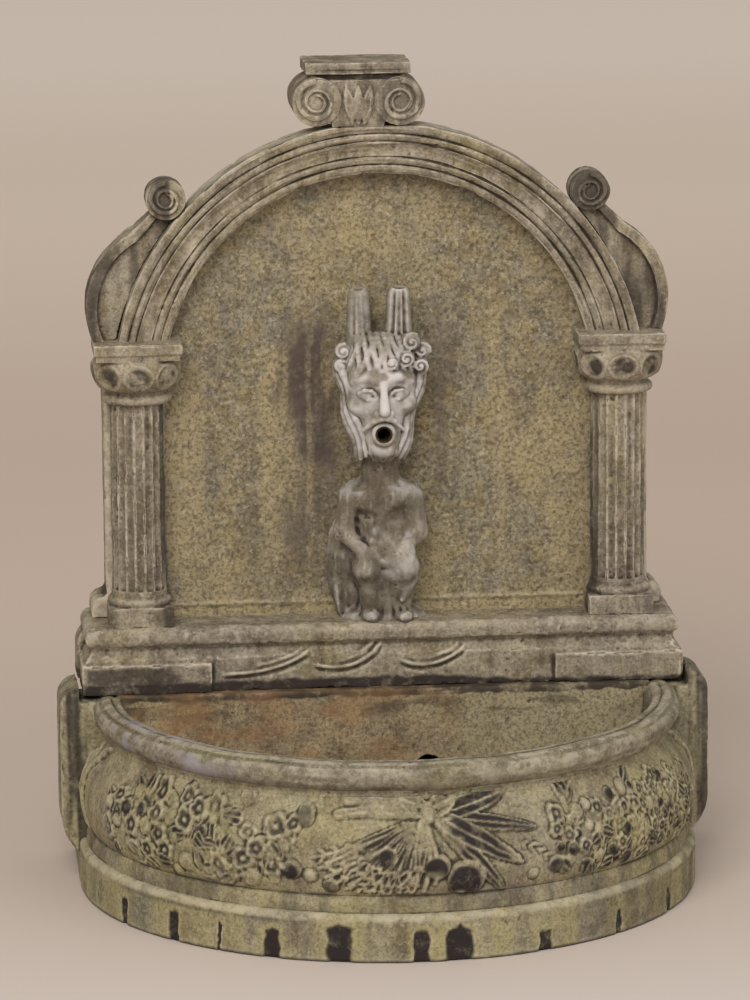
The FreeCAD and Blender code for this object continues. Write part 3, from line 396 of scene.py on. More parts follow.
BASIN_STONE = stone(
    "basin_stone", "8c8064",
    (("9c9266", 13, 0.7), ("6c6a56", 21, 0.75), ("a89c84", 38, 0.5),
     ("7e7676", 9, 0.45), ("62523c", 9, 0.6, TALL), ("aca380", 16, 0.5, TALL),
     ("68624c", 105, 0.45), ("aea586", 84, 0.4)),
    "bcb39a", "322c22", "2c2625", "a4996c", rub=0.55)
LIP_STONE = stone(
    "lip_stone", "7f7561",
    (("6a6656", 17, 0.7), ("8c826e", 30, 0.6), ("807652", 11, 0.6),
     ("5e5444", 42, 0.5), ("a89e8a", 70, 0.45), ("564e3c", 110, 0.45)),
    "b8af9c", "383128", "948e90", "746e50", rub=0.5)
WALL_STONE = stone(
    "wall_stone", "8c8065",
    (("746e62", 17, 0.7), ("ac9e8a", 44, 0.55), ("968860", 24, 0.5),
     ("78726b", 11, 0.5), ("584836", 10, 0.65, TALL), ("aaa08c", 17, 0.5, TALL),
     ("685e4c", 120, 0.4), ("b2a692", 92, 0.4)),
    "c2b7a4", "342c24", "362e29", "aea490")
PANEL_STONE = stone(
    "panel_stone", "877c63",
    (("a08f66", 15, 0.6), ("787361", 26, 0.65), ("70604a", 11, 0.55, TALL),
     ("968d76", 14, 0.5, TALL), ("706c66", 62, 0.55), ("a08c5d", 88, 0.5),
     ("625742", 150, 0.55), ("a49a82", 190, 0.4)),
    "b6aa90", "3e362a", "544942", "a2926e", speck=0.55, rub=0.35, grime=0.5, grain=560)
POOL_STONE = stone(
    "pool_stone", "96876c",
    (("807460", 19, 0.6), ("a6946e", 28, 0.5), ("62503e", 10, 0.55, TALL),
     ("967e64", 45, 0.5), ("60503c", 110, 0.55), ("b09a70", 84, 0.45)),
    "b6a68a", "382f26", "94704a", "9e9677", speck=0.5, grime=0.95)
FIGURE_STONE = stone(
    "figure_stone", "7a7261",
    (("666050", 30, 0.7), ("8e8676", 55, 0.5), ("7c6450", 22, 0.4),
     ("4a4437", 62, 0.55), ("9e9584", 130, 0.5)),
    "cec7c0", "28231f", "d8d2d0", "584c3e", speck=0.12, rub=0.6, grime=1.0)
BRASS = plain("aged_brass", "4a3c24", 0.6, 0.4, 0.6, 0.5, 220)
VINYL = plain("clear_vinyl", "b0b8b4", 0.2, 0.5)
FITTING = plain("fitting_plastic", "2e2e2c", 0.5)
PUMP = plain("pump_plastic", "1e1f21", 0.55)
RUBBER = plain("soft_rubber", "242221", 0.8, 0.25)
CERAMIC = plain("pin_ceramic", "e2ded4", 0.3)


# Basin skin

def arc(start, stop, bend, step):
    """Points from start up to stop, without stop; bend is the tangent of a quarter of the arc's angle."""
    a = np.array(start, float)
    b = np.array(stop, float)
    chord = b - a
    if not bend:
        count = max(2, int(round(np.linalg.norm(chord) / step)))
        return a + chord * np.arange(count)[:, None] / count
    pull = (1 - bend * bend) / (4 * bend)
    centre = (a + b) / 2 + np.array([-chord[1], chord[0]]) * pull
    radius = np.linalg.norm(a - centre)
    angle = 4 * math.atan(bend)
    count = max(2, int(round(abs(angle) * radius / step)))
    turn = math.atan2(a[1] - centre[1], a[0] - centre[0]) + angle * np.arange(count) / count
    return centre + radius * np.stack([np.cos(turn), np.sin(turn)], 1)


# Corners of the section, from the foot to the pool
FOOT_LOW = (FOOT_RADIUS, FOOT_ROUND / 2)
FOOT_HIGH = (FOOT_RADIUS, FOOT_HEIGHT - FOOT_ROUND)
FOOT_TOP = (FOOT_RADIUS - FOOT_ROUND, FOOT_HEIGHT)
BELLY_START = (FOOT_RADIUS - FOOT_ROUND - 1, FOOT_HEIGHT)
LIP_START = (LIP_MIDDLE + LIP_HALF * 0.37, LIP_LEVEL - LIP_HALF * 0.92903)
LIP_STOP = (LIP_MIDDLE - LIP_HALF, LIP_LEVEL)
POOL_EDGE = (LIP_STOP[0] - 1.2, LIP_LEVEL - 10)
QUARTER_BEND = 0.4142
FOOT_PROFILE = np.concatenate([
    arc((FOOT_RADIUS - FOOT_ROUND / 2, 0), FOOT_LOW, 0, 0.9),
    arc(FOOT_LOW, FOOT_HIGH, 0, 0.9),
    arc(FOOT_HIGH, FOOT_TOP, QUARTER_BEND, 0.7),
    [FOOT_TOP, BELLY_START],
])
BELLY_STEP = 0.6
BELLY_PROFILE = np.concatenate([
    arc(BELLY_START, WAIST, 0.12, BELLY_STEP),
    arc(WAIST, NECK, 0.36, BELLY_STEP),
    arc(NECK, LIP_START, -0.25, BELLY_STEP),
    [LIP_START],
])
LIP_PROFILE = np.concatenate([arc(LIP_START, LIP_STOP, 1.8856, 0.9), arc(LIP_STOP, POOL_EDGE, 0, 1.5)])
QUARTER_BOW = math.pi / 2 * BELLY_RADIUS
FLANK_STEP = 1.4
BOW_COUNT = 720
TUCK = 2.0


def bow_columns():
    """Places along the basin's plan from the left rear to the right rear, and their lengths along the belly.

    A place is the outward direction's x and y, and its centre's y.
    """
    flank = BACK_Y - BOW_Y
    straight = np.linspace(flank, FLANK_STEP, int(flank / FLANK_STEP))
    turns = np.radians(np.linspace(-90, 90, BOW_COUNT))
    left = np.stack([-np.ones_like(straight), np.zeros_like(straight), BOW_Y + straight], 1)
    bow = np.stack([np.sin(turns), -np.cos(turns), np.full_like(turns, BOW_Y)], 1)
    along = np.concatenate([-QUARTER_BOW - straight, turns * BELLY_RADIUS, QUARTER_BOW + straight[::-1]])
    return np.concatenate([left, bow, left[::-1] * (-1, 1, 1)]), along


COLUMNS, ALONG = bow_columns()


def swept(section, columns):
    """World points of sections set at places along the plan."""
    x, y, middle = columns.T[:, :, None]
    radius = section[..., 0]
    return np.stack(np.broadcast_arrays(x * radius, y * radius + middle, section[..., 1]), 2)


def skin(name, profile, push):
    """Sheet over the basin's section, pushed out by a grid, its border turned into the stone."""
    tangent = np.gradient(profile, axis=0)
    outward = np.stack([tangent[:, 1], -tangent[:, 0]], 1)
    outward /= np.linalg.norm(outward, axis=1)[:, None]
    section = profile + outward * push[:, :, None]
    ends = section[:, :1] - outward[0] * TUCK, section[:, -1:] - outward[-1] * TUCK
    section = np.concatenate([ends[0], section, ends[1]], 1)
    section = np.concatenate([section[:1], section, section[-1:]])
    section[[0, -1], :, 0] -= TUCK
    points = swept(section, np.concatenate([COLUMNS[:1], COLUMNS, COLUMNS[-1:]]))
    points[:, :, 2] = np.maximum(points[:, :, 2], 0.1)
    return new_object(name, points, grid_faces(*points.shape[:2]))


class Relief:
    """Height field and dark paint over the belly, in millimetres along the bow and up."""

    def __init__(self, along, up):
        self.along = along
        self.up = up
        self.height = np.zeros((len(along), len(up)))
        self.paint = np.zeros((len(along), len(up)))

    def window(self, s, z, reach):
        """Part of the field round a place, and the distances from it along and up."""
        part = np.ix_(np.abs(self.along - s) <= reach, np.abs(self.up - z) <= reach)
        return part, self.along[part[0]] - s, self.up[part[1]] - z

    def place(self, part, shape, inside, dark):
        """Raise the field to a shape inside its outline, and paint it afresh."""
        self.height[part] = np.maximum(self.height[part], np.where(inside, shape, -9))
        self.paint[part] = np.maximum(self.paint[part] * ~inside, dark)

    def berry(self, s, z, radius, lift, dark=0.0):
        part, ds, dz = self.window(s, z, radius * 1.6)
        d = np.sqrt(ds ** 2 + dz ** 2) / radius
        self.height[part] -= 0.35 * ramp(d, 1.5, 1.05) * (d > 0.98)
        # The dark paint sits a little down and to the left, so a pale crescent at the upper right is left as
        # a painted highlight.
        middle = np.hypot(ds + 0.1 * radius, dz + 0.15 * radius) / radius
        self.place(part, lift * np.sqrt(np.clip(1 - d * d, 0, 1)), d < 1, dark * ramp(middle, 0.95, 0.75))

    def flower(self, s, z, radius, lift, petals, turn, dark=0.0):
        """Open blossom: a squashed, lobed ring of petals round a hollow with a boss."""
        part, ds, dz = self.window(s, z, radius * 1.5)
        squash = 0.76 + 0.44 * (turn * 7.3 % 1)
        u = (ds * math.cos(3 * turn) + dz * math.sin(3 * turn)) * squash
        v = (dz * math.cos(3 * turn) - ds * math.sin(3 * turn)) / squash
        d = np.sqrt(u ** 2 + v ** 2) / radius
        lobe = np.abs(np.cos((np.arctan2(v, u) + turn) * petals / 2))
        q = d / (0.74 + 0.26 * lobe)
        shape = lift * (0.35 + 0.65 * bell(q - 0.72, 0.22)) * np.clip((1 - q) / 0.25, 0, 1) ** 0.5
        shape *= 0.55 + 0.45 * lobe
        shape = np.maximum(shape, lift * 0.8 * np.sqrt(np.clip(1 - (d / 0.2) ** 2, 0, 1)))
        self.height[part] -= 0.4 * ramp(d, 1.35, 1.0) * (q > 1)
        self.place(part, shape, q < 1, dark * ramp(d, 0.14, 0.24) * ramp(q, 0.66, 0.5))

    def leaf(self, s, z, length, width, turn, lift, hook=0.0, dark=0.0, cupped=True):
        """Pointed leaf from (s, z) along turn, with a midrib; hook bends it sideways."""
        part, ds, dz = self.window(s, z, length * 1.1)
        u = (ds * math.cos(turn) + dz * math.sin(turn)) / length
        v = -ds * math.sin(turn) + dz * math.cos(turn) - hook * length * u * u
        along = np.clip(u, 0, 1)
        half = width * np.sqrt(np.clip(np.sin(np.pi * along ** 0.8), 0, 1)) * (1 - 0.25 * along)
        inside = (u > 0) & (u < 1) & (np.abs(v) < half)
        across = np.abs(v) / np.maximum(half, 0.01)
        if cupped:
            shape = lift * (0.4 + 0.6 * across ** 2 + 0.4 * bell(v, 0.5))
        else:
            shape = lift * (1 - 0.6 * across ** 2)
        rim = (u > -0.06) & (u < 1.06) & (np.abs(v) < half + 0.9) & ~inside
        self.height[part] -= 0.35 * rim
        blade = ramp(across, 0.9, 0.72) * ramp(np.abs(v), 0.2, 0.5) * ramp(u, 0.08, 0.22)
        self.place(part, shape, inside, dark * inside * blade)

    def wheat(self, start, stop, sag, grains, size, lift):
        """Ear of grain: pairs of husks along a bowed line."""
        path = curve(start, stop, sag, grains + 1)
        for k in range(grains):
            run = path[k + 1] - path[k]
            turn = math.atan2(run[1], run[0])
            for hand in (-1, 1):
                shift = draw(-0.7, 0.7, 2)
                self.leaf(*(path[k] + shift), size * draw(0.8, 1.25), size * 0.22,
                          turn + hand * draw(0.3, 0.7), lift * draw(0.7, 1.1), cupped=False)

    def strip(self, path, width, lift, groove=0.5):
        """Ribbon or stem along a path of (along, up) points, tapering to its end."""
        for k, (a, b) in enumerate(zip(path[:-1], path[1:])):
            run = b - a
            middle = (a + b) / 2
            part, ds, dz = self.window(*middle, np.linalg.norm(run) / 2 + width * 2)
            x = ds + middle[0] - a[0]
            y = dz + middle[1] - a[1]
            t = np.clip((x * run[0] + y * run[1]) / run.dot(run), 0, 1)
            d = np.hypot(x - t * run[0], y - t * run[1])
            half = width * (1 - 0.55 * (k + t) / (len(path) - 1))
            shape = lift * np.clip(1 - (d / half) ** 2, 0, 1) ** 0.6 - groove * bell(d, half * 0.3)
            self.height[part] = np.maximum(self.height[part], np.where(d < half, shape, -9))


def shifted(field, di, dj):
    """Field read at places moved by di rows and dj columns."""
    rows, columns = field.shape
    i = np.clip(np.arange(rows)[:, None] + di, 0, rows - 1.001)
    j = np.clip(np.arange(columns)[None] + dj, 0, columns - 1.001)
    a = i.astype(int)
    b = j.astype(int)
    u = i - a
    v = j - b
    low = field[a, b] * (1 - u) + field[a + 1, b] * u
    high = field[a, b + 1] * (1 - u) + field[a + 1, b + 1] * u
    return low * (1 - v) + high * v


def softened(field, times):
    for _ in range(times):
        padded = np.pad(field, 1, mode="edge")
        around = padded[2:, 1:-1] + padded[:-2, 1:-1] + padded[1:-1, 2:] + padded[1:-1, :-2]
        field = 0.5 * field + 0.125 * around
    return field


def curve(start, stop, sag, count=9):
    """Points of a bowed line; sag is the offset at the middle, to the left of the run."""
    a = np.array(start, float)
    run = np.array(stop, float) - a
    t = np.linspace(0, 1, count)[:, None]
    side = np.array([-run[1], run[0]]) / np.linalg.norm(run)
    return a + run * t + side * sag * 4 * t * (1 - t)


KNOT = (5.0, 64.5)
# Clusters: middle along the bow, level, reach, height, number of blossoms and fruit, spacing
CLUSTERS = ((-110, 49, 56, 17, 40, 7.8), (120, 49, 57, 16, 74, 5.6))
# Leaves strewn below and above them: number, top, range of length, width and lift, share without paint
UNDER_LEAVES = (34, 1, (7, 12), (2.6, 4.2), (1.3, 2.1), 0.35)
OVER_LEAVES = (16, 0.8, (6, 10), (2.4, 3.6), (1.6, 2.4), 0)
# Leaves right of the knot: tip along the bow, tip height, half width
FAN = ((54, 57, 3.6), (40, 30, 3.8), (41, 70, 3.8), (47, 43, 5.0))
# Fruit: along the bow, height, radius, darkness
FRUIT = ((8, 43, 5.8, 1), (21, 37.5, 8.4, 1), (-13, 48.5, 4.2, 1), (63, 39, 3.6, 1), (-50, 64, 4.2, 0.6),
         (-3, 37, 3.0, 0), (52, 36, 2.6, 0), (-38, 35, 3.4, 0.8), (-47, 39, 3.0, 0))
# Ribbons to the left and tails of the knot: reach along the bow, height
RIBBONS = ((-37, 4.5), (-41, 0))
TAILS = ((-13, -30), (-8, -33), (-3, -33), (2, -29))


def cluster(relief, middle, level, reach, tall, count, spacing):
    """Scattered blossoms, fruit and leaves on a low swelling."""
    def strew(number, top, lengths, widths, lifts, bare):
        for _ in range(number):
            s = middle + reach * draw(-1, 1)
            z = level + tall * draw(-1, top)
            form = [draw(*limits) for limits in (lengths, widths, (0, 6.28), lifts, (-0.25, 0.25))]
            relief.leaf(s, z, *form, RNG.choice([0.0, 1.0], p=[bare, 1 - bare]) if bare else 1.0)

    swell_s = np.exp(-((ALONG - middle) / reach) ** 4)[:, None]
    swell_z = np.exp(-((relief.up - level) / (tall + 3)) ** 4)[None]
    relief.height += 0.7 * swell_s * swell_z
    strew(*UNDER_LEAVES)
    taken = []
    for _ in range(count * 30):
        s = middle + reach * draw(-1, 1)
        z = level + tall * (1 - 0.3 * abs(s - middle) / reach) * draw(-1, 1)
        if any((s - a) ** 2 + (z - b) ** 2 < (0.95 * spacing) ** 2 for a, b in taken):
            continue
        taken.append((s, z))
        size = spacing * draw(0.58, 0.86)
        if draw() < 0.55:
            petals = int(RNG.integers(4, 7))
            relief.flower(s, z, size, draw(1.5, 2.3), petals, draw(0, 6), draw(0.75, 1))
        else:
            relief.berry(s, z, size * draw(0.5, 0.75), draw(1.6, 2.6), RNG.choice([0.0, 1.0]))
        if len(taken) >= count:
            break
    strew(*OVER_LEAVES)


def knot(relief):
    """Ribbon knot with a sheaf of grain, leaves, fruit and hanging tails."""
    s0, z0 = KNOT
    start = np.array([s0 - 3, z0 - 2])
    for k, turn in enumerate(np.radians(np.linspace(198, 262, 12))):
        length = 52 - 1.9 * k + draw(-2, 2)
        stem = length * np.array([math.cos(turn), math.sin(turn)])
        relief.leaf(*start, length * 0.9, 2.6, turn + 0.04, 1.0, 0.0, 0.9)
        relief.strip(curve(start, start + stem, draw(-1, 1)), 1.25, 2.3, 0.0)
        relief.wheat(start + 0.62 * stem, start + stem, 0.5, 3, 4.2, 2.3)
    for reach, high in RIBBONS:
        relief.strip(curve((s0 - 3, z0 + 1), (s0 + reach, z0 + high), -1), 3.4, 2.4, 0.7)
    for s, z, half in FAN:
        run = np.array([s - s0 - 3, z - z0 + 1])
        relief.leaf(s0 + 3, z0 - 1, np.linalg.norm(run), half, math.atan2(run[1], run[0]), 2.5, -0.02, 1.0)
    relief.wheat((47, 50), (60, 42), 1, 4, 4.0, 1.8)
    for s, z, size, dark in FRUIT:
        relief.berry(s, z, size, 1.6 + size * 0.2, dark)
    for reach, drop in TAILS:
        relief.strip(curve((s0 - 2, z0 - 3), (s0 + reach, z0 + drop), 2), 1.7, 2.5, 0.5)
    relief.leaf(s0 - 1, z0 + 1, 13, 4.2, math.pi - 0.3, 3.0)
    relief.leaf(s0 + 1, z0 + 1, 13, 4.2, 0.3, 3.0)
    relief.berry(s0, z0, 3.8, 3.5)


def tassel(relief, hand):
    """Strands that hang where the bow meets a flank."""
    edge = hand * (QUARTER_BOW - 12)
    for shift, wide in ((0, 2.0), (6, 1.7), (11, 1.5)):
        foot = edge + hand * (shift - 6)
        relief.strip(curve((edge + hand * shift, 67 - 0.4 * shift), (foot, 33), hand * 6), wide, 1.9, 0.4)
    for k in range(4):
        top = (edge - hand * (16 - 4 * k), 69 - 2.5 * k)
        relief.strip(curve((edge + hand * (2 + 2 * k), 57 - 3 * k), top, -hand * 2.5), 1.8, 2.0, 0.3)


def garland(place):
    """Carved festoon between two mouldings, as height and dark paint over a grid of the belly's points."""
    up = BELLY_PROFILE[:, 1]
    relief = Relief(ALONG, up)
    for entry in CLUSTERS:
        cluster(relief, *entry)
    knot(relief)
    for hand in (-1, 1):
        tassel(relief, hand)
    di = 0.45 * fractal(place, 7, 81, 2) / np.gradient(ALONG).mean()
    dj = 0.45 * fractal(place, 7, 82, 2) / BELLY_STEP
    field = ramp(up, 29.5, 32.5) * ramp(up, 72, 69.5)
    height = softened(shifted(relief.height, di, dj), 2)
    height *= field * (0.88 + 0.2 * fractal(place, 6, 83, 2))
    paint = field * shifted(relief.paint, di, dj) * patches(place, 9, 84, -0.7, -0.1, octaves=2)
    return height, paint


def basin_push(profile, wobble=0.35):
    """Casting wobble and grain over a part of the section, and its bare points."""
    place = swept(profile[None], COLUMNS)
    push = 0.75 + wobble * fractal(place, 18, 3) * 0.5 + 0.12 * fractal(place, 2.6, 5, 2)
    return push - 0.3 * pitted(place, 4.6, 29), place


# Dark drips on the foot: turn from the front in degrees, half width and height in millimetres
DRIPS = ((-47.8, 3.2, 15.5), (-37.4, 1.0, 14), (-26.8, 4.4, 15), (-14.2, 6.4, 18.5), (0.4, 4.0, 16.5),
         (7.1, 6.8, 17.5), (23.8, 3.2, 11), (-62, 2.4, 14), (41, 1.6, 13), (58, 2.4, 13))
# Turn of the pale gap between the two middle drips
PALE_GAP = 3.6


def off_turn(turn):
    """Distance along the bow from a turn in degrees."""
    return ALONG[:, None] - math.radians(turn) * BELLY_RADIUS


def foot_piece():
    push, place = basin_push(FOOT_PROFILE)
    z = place[:, :, 2]
    stain = np.zeros(push.shape)
    rim = np.zeros(push.shape)
    sway = 1.1 * fractal(place, 5, 31, 2)
    ragged = 0.8 * fractal(place, 3, 32, 2)
    for turn, half, tall in DRIPS:
        wave = np.abs(off_turn(turn) + sway)
        crest = tall - 1.2 - 0.35 * wave + ragged
        stain = np.maximum(stain, ramp(wave, half, half * 0.72) * ramp(z, crest + 1.2, crest - 1.2))
        rim = np.maximum(rim, ramp(wave, half + 3.2, half + 0.6) * ramp(z, crest + 4, crest + 1.5))
    foot = skin("basin_foot", FOOT_PROFILE, push - 0.7 * stain)
    upright = place * (1, 1, 0.05)
    gap = np.abs(off_turn(PALE_GAP) + fractal(place, 5, 42, 2))
    rim = np.maximum(rim, ramp(gap, 3.6, 2.2) * ramp(z, 16, 12))
    pale = np.maximum(0.6 * patches(upright, 13, 33, -0.15, 0.45), 0.8 * rim * (1 - stain))
    shade = 0.34 * ramp(ALONG, 55, 110)[:, None] * patches(upright, 9, 38, -0.7, 0.2)
    crease = 0.55 * bell(z - FOOT_HEIGHT + 3.4, 0.7) * patches(place, 30, 41, -0.2, 0.3)
    # The lowest two millimetres of the foot are darkened as a painted contact shadow.
    dark = np.maximum.reduce([stain, shade, crease, 0.85 * ramp(z, 1.9, 0.7)])
    finish_piece(foot, BASE, BASIN_STONE, np.pad(dark, 1), np.pad(pale, 1))


def belly_piece():
    push, place = basin_push(BELLY_PROFILE)
    relief, paint = garland(place)
    z = place[:, :, 2]
    push += 1.5 * ramp(z, 64, 70) * ramp(z, 76, 72)
    belly = skin("basin_belly", BELLY_PROFILE, push + relief)
    # Painted shade in the crease at the waist, where the relief begins, and where the belly meets the foot,
    # in patches.
    dirt_and_shade = np.maximum(bell(z - WAIST[1], 1.5), ramp(z, FOOT_HEIGHT + 2.2, FOOT_HEIGHT + 0.6))
    dirt_and_shade *= 1.1 * patches(place, 16, 37, -0.6, 0.2)
    low_band = 0.4 * ramp(z, WAIST[1] + 3, WAIST[1]) * patches(place * (1, 1, 0.1), 8, 40, -0.4, 0.4)
    yellow = 0.55 * patches(place * (1, 1, 1.6), 34, 34, -0.2, 0.5) * ramp(z, 78, 60)
    dark = np.maximum(paint, low_band)
    finish_piece(belly, BASE, BASIN_STONE, np.pad(dark, 1), np.pad(yellow, 1), np.pad(dirt_and_shade - 0.2, 1))


def lip_piece():
    """Rolled rim with a bead and lines along it; its ends under the plinth are sunk."""
    push, place = basin_push(LIP_PROFILE, 0.6)
    across = 0.9 * np.arange(len(LIP_PROFILE))
    lines = fractal(np.stack(np.broadcast_arrays(ALONG[:, None] / 14, across, 0.0), 2), 3.2, 35, 2)
    turn = np.arctan2(LIP_PROFILE[:, 1] - LIP_LEVEL, LIP_PROFILE[:, 0] - LIP_MIDDLE)
    push += 0.35 * lines + 0.9 * bell(turn - 2.25, 0.22)
    push -= 0.6 * bell(turn - 1.75, 0.16) + 0.4 * bell(turn - 0.9, 0.12)
    z = place[:, :, 2]
    under = ramp(place[:, :, 1], 44, 47) * ramp(z, RIM_Z - 3.5, RIM_Z - 1.5)
    lip = skin("basin_lip", LIP_PROFILE, push * (1 - under) - 0.3 * under)
    violet = 0.8 * ramp(np.abs(ALONG + 132), 62, 20)[:, None] * ramp(lines, -0.5, 0.3)
    violet *= patches(place, 6, 39, -0.5, 0.4)
    mossy = 0.8 * patches(place, 40, 36, -0.1, 0.4) * ramp(lines, 0.4, -0.3)
    # Painted shade on the lower half of the roll, broken along its lines.
    dirt_and_shade = 0.75 * ramp(z, LIP_LEVEL + 3, LIP_LEVEL - 3) * ramp(lines, -0.6, 0.3, 0.3)
    finish_piece(lip, BASE, LIP_STONE, np.pad(violet, 1), np.pad(mossy, 1), np.pad(dirt_and_shade - 0.2, 1))


foot_piece()
belly_piece()
lip_piece()


# Wall castings

# Strokes of the waves on the plinth: places across, heights, lift
WAVES = (((-76, -64, -52, -42, -34), (95, 95.4, 97.2, 100.6, 105), 1.0),
         ((-33, -25, -16, -8, -1), (99, 97, 97.6, 101, 107), 1.0),
         ((7, 14, 22, 30, 38), (100, 97.4, 97.2, 100, 105), 1.0),
         ((-60, -51, -43, -38), (98.6, 100.3, 103, 105.4), 0.45),
         ((-21, -14, -8, -4), (100, 101.6, 105, 108.4), 0.45),
         ((17, 24, 30, 35), (99.8, 100.8, 103.2, 106), 0.45))


def wave_crests(points, normals):
    """Three curling waves on the middle of the plinth, each with a fainter line above."""
    x, z = points[:, 0], points[:, 2]
    push = np.zeros(len(points))
    for across, heights, lift in WAVES:
        form = np.polyfit(across, heights, 3)
        t = (x - across[0]) / (across[-1] - across[0])
        near = np.clip(x, across[0], across[-1])
        d = (z - np.polyval(form, near)) / np.sqrt(1 + np.polyval(np.polyder(form), near) ** 2)
        on = ramp(t, -0.03, 0.15) * ramp(t, 1.03, 0.94)
        push += on * lift * (bell(d, 0.85) - 0.8 * bell(d + 1.9, 1.0))
    return np.where((normals[:, 1] < -0.6) & (np.abs(x) < 80), push, 0)


def ovals(points, middle):
    """Distance from the middle of the nearest oval on a capital's echinus, 1 at its edge."""
    rel = points[:, :2] - middle
    phase = np.arctan2(rel[:, 0], -rel[:, 1]) / math.radians(42)
    phase = (phase + 0.5) % 1 - 0.5
    return np.hypot(phase / 0.44, (points[:, 2] - CAPITAL_Z - 13.4) / 5.8)


def oval_band(middle):
    def carve(points, normals):
        e = ovals(points, middle)
        cross = bell(e - 0.5, 0.2) * 0.4 * noise(points, 2.4, 95)
        return 0.35 * bell(e - 1.02, 0.13) - 0.8 * ramp(e, 0.95, 0.6) + cross
    return carve


def crown_tiers(points, normals):
    """Sunk middle under the top fillet of the crown's abacus, between corner blocks."""
    level = (points[:, 2] - CROWN_HIGH[2] + 8) / 8
    across = np.abs(points[:, 0] - (CROWN_LOW[0] + CROWN_HIGH[0]) / 2)
    front = ramp(-normals[:, 1], 0.5, 0.8)
    return -0.8 * ramp(level, 0.0, 0.1) * ramp(level, 0.66, 0.56) * ramp(across, 20, 18.5) * front


ARCH_DROP = 24.0
ARCH_Z = ARCH_LOW[2] - ARCH_DROP
ARCH_WIDTH = 23.3
# Mouldings of the arch as shares of its width: start, end, lift; and the grooves between them
ARCH_BANDS = ((0, 0.16, 0.8), (0.19, 0.32, 0.7), (0.35, 0.63, -1.2), (0.66, 0.79, 0.8), (0.82, 1, 0.9))
ARCH_GROOVES = (0.175, 0.335, 0.645, 0.805)


def arch_streaks(points, normals):
    """Fine lines along the arch's front."""
    x, rise = points[:, 0], points[:, 2] - ARCH_Z
    lined = np.stack([np.hypot(x, rise) * 2.2, np.arctan2(x, rise) * 14, np.zeros(len(points))], 1)
    return 0.22 * fractal(lined, 2.4, 97, 2) * ramp(-normals[:, 1], 0.3, 0.7)


def fit_normals(obj):
    """Turn every face of a closed skin outwards."""
    form = bmesh.new()
    form.from_mesh(obj.data)
    bmesh.ops.recalc_face_normals(form, faces=form.faces)
    form.to_mesh(obj.data)
    form.free()


def arch_piece():
    """Round arch with fine mouldings, swept over the niche from one capital to the other."""
    outer = math.hypot(ARCH_HIGH[0], ARCH_DROP)
    inner = outer - ARCH_WIDTH
    deep = SLAB_FRONT - ARCH_LOW[1]
    f = np.linspace(0, 1, 100)
    front = deep - 6 + 5.6 * f
    for low, high, lift in ARCH_BANDS:
        front += lift * np.sin(np.pi * np.clip((f - low) / (high - low), 0, 1)) ** 0.7
    for middle in ARCH_GROOVES:
        front -= 1.3 * bell(f - middle, 0.017)
    back = np.linspace(0, 1, 9)[:-1]
    flat = 0 * back
    radius = np.concatenate([flat + inner, inner + ARCH_WIDTH * f, flat + outer, outer - ARCH_WIDTH * back])
    out = np.concatenate([(deep - 6) * back, front, (deep - 0.4) * (1 - back), flat])
    start = np.arcsin((ARCH_DROP - 0.4) / radius)
    turn = start + np.linspace(0, 1, 330)[:, None] * (math.pi - 2 * start)
    level = np.minimum(ARCH_Z + radius * np.sin(turn), ARCH_HIGH[2])
    grid = np.stack(np.broadcast_arrays(-radius * np.cos(turn), SLAB_FRONT - out, level), 2)
    arch = new_object("arch_moulding_cast", grid, grid_faces(*grid.shape[:2], closed=True))
    fit_normals(arch)
    weathered(arch, wobble=0.35, grain=0.08, chips=0.5, carve=arch_streaks)
    finish_piece(arch, WALL, WALL_STONE)


def side_pieces(side, hand):
    """Column, capital, scroll and ear of one side; hand is 1 on the left and -1 on the right."""
    low, high = corners(side + "_column")
    centre = np.array([(low[0] + high[0]) / 2, low[1] + 15])
    column, points = cast(side + "_column", 0.5, 2, wobble=0.25)
    inwards = hand * (points[:, 0] - centre[0])
    # Painted shade down the columns' sides in upright streaks, strongest on the side towards the niche.
    flank = np.maximum(0.85 * ramp(inwards, 8, 11.5), 0.35 * ramp(-inwards, 8, 12.5))
    flank *= patches(points * (1, 1, 0.15), 9, 91, -0.5, 0.2)
    fluted = 0.6 * ramp(sunken(column, 10), 0.03, 0.2) * patches(points * (1, 1, 0.2), 6, 90, -0.6, 0.2)
    finish_piece(column, WALL, WALL_STONE, np.maximum(flank, fluted))
    capital, points = cast(side + "_capital", 0.45, 3, wobble=0.25, carve=oval_band(centre))
    deep = 0.9 * ramp(ovals(points, centre), 0.9, 0.65) * ramp(-normals_of(capital)[:, 1], -0.2, 0.3)
    finish_piece(capital, WALL, WALL_STONE, deep * patches(points, 5, 96, -0.5, 0.3, octaves=2))
    scroll, points = cast(side + "_scroll", 0.5, 3)
    finish_piece(scroll, WALL, WALL_STONE, 0.75 * patches(points * (1, 1, 0.2), 7, 98, -0.4, 0.4))
    ear, points = cast(side + "_ear", 0.7, 3)
    facing = 0.8 * ramp(-normals_of(ear)[:, 1], -0.2, 0.5, 0.5)
    finish_piece(ear, BASE, BASIN_STONE, facing * patches(points * (1, 1, 0.06), 6, 92, -0.45, 0.25))


def crown_piece():
    crown, points = cast("crown_capital", 0.45, 2, wobble=0.25, carve=crown_tiers)
    finish_piece(crown, WALL, WALL_STONE, 0.4 * patches(points * (1, 1, 0.3), 6, 99, -0.3, 0.4))


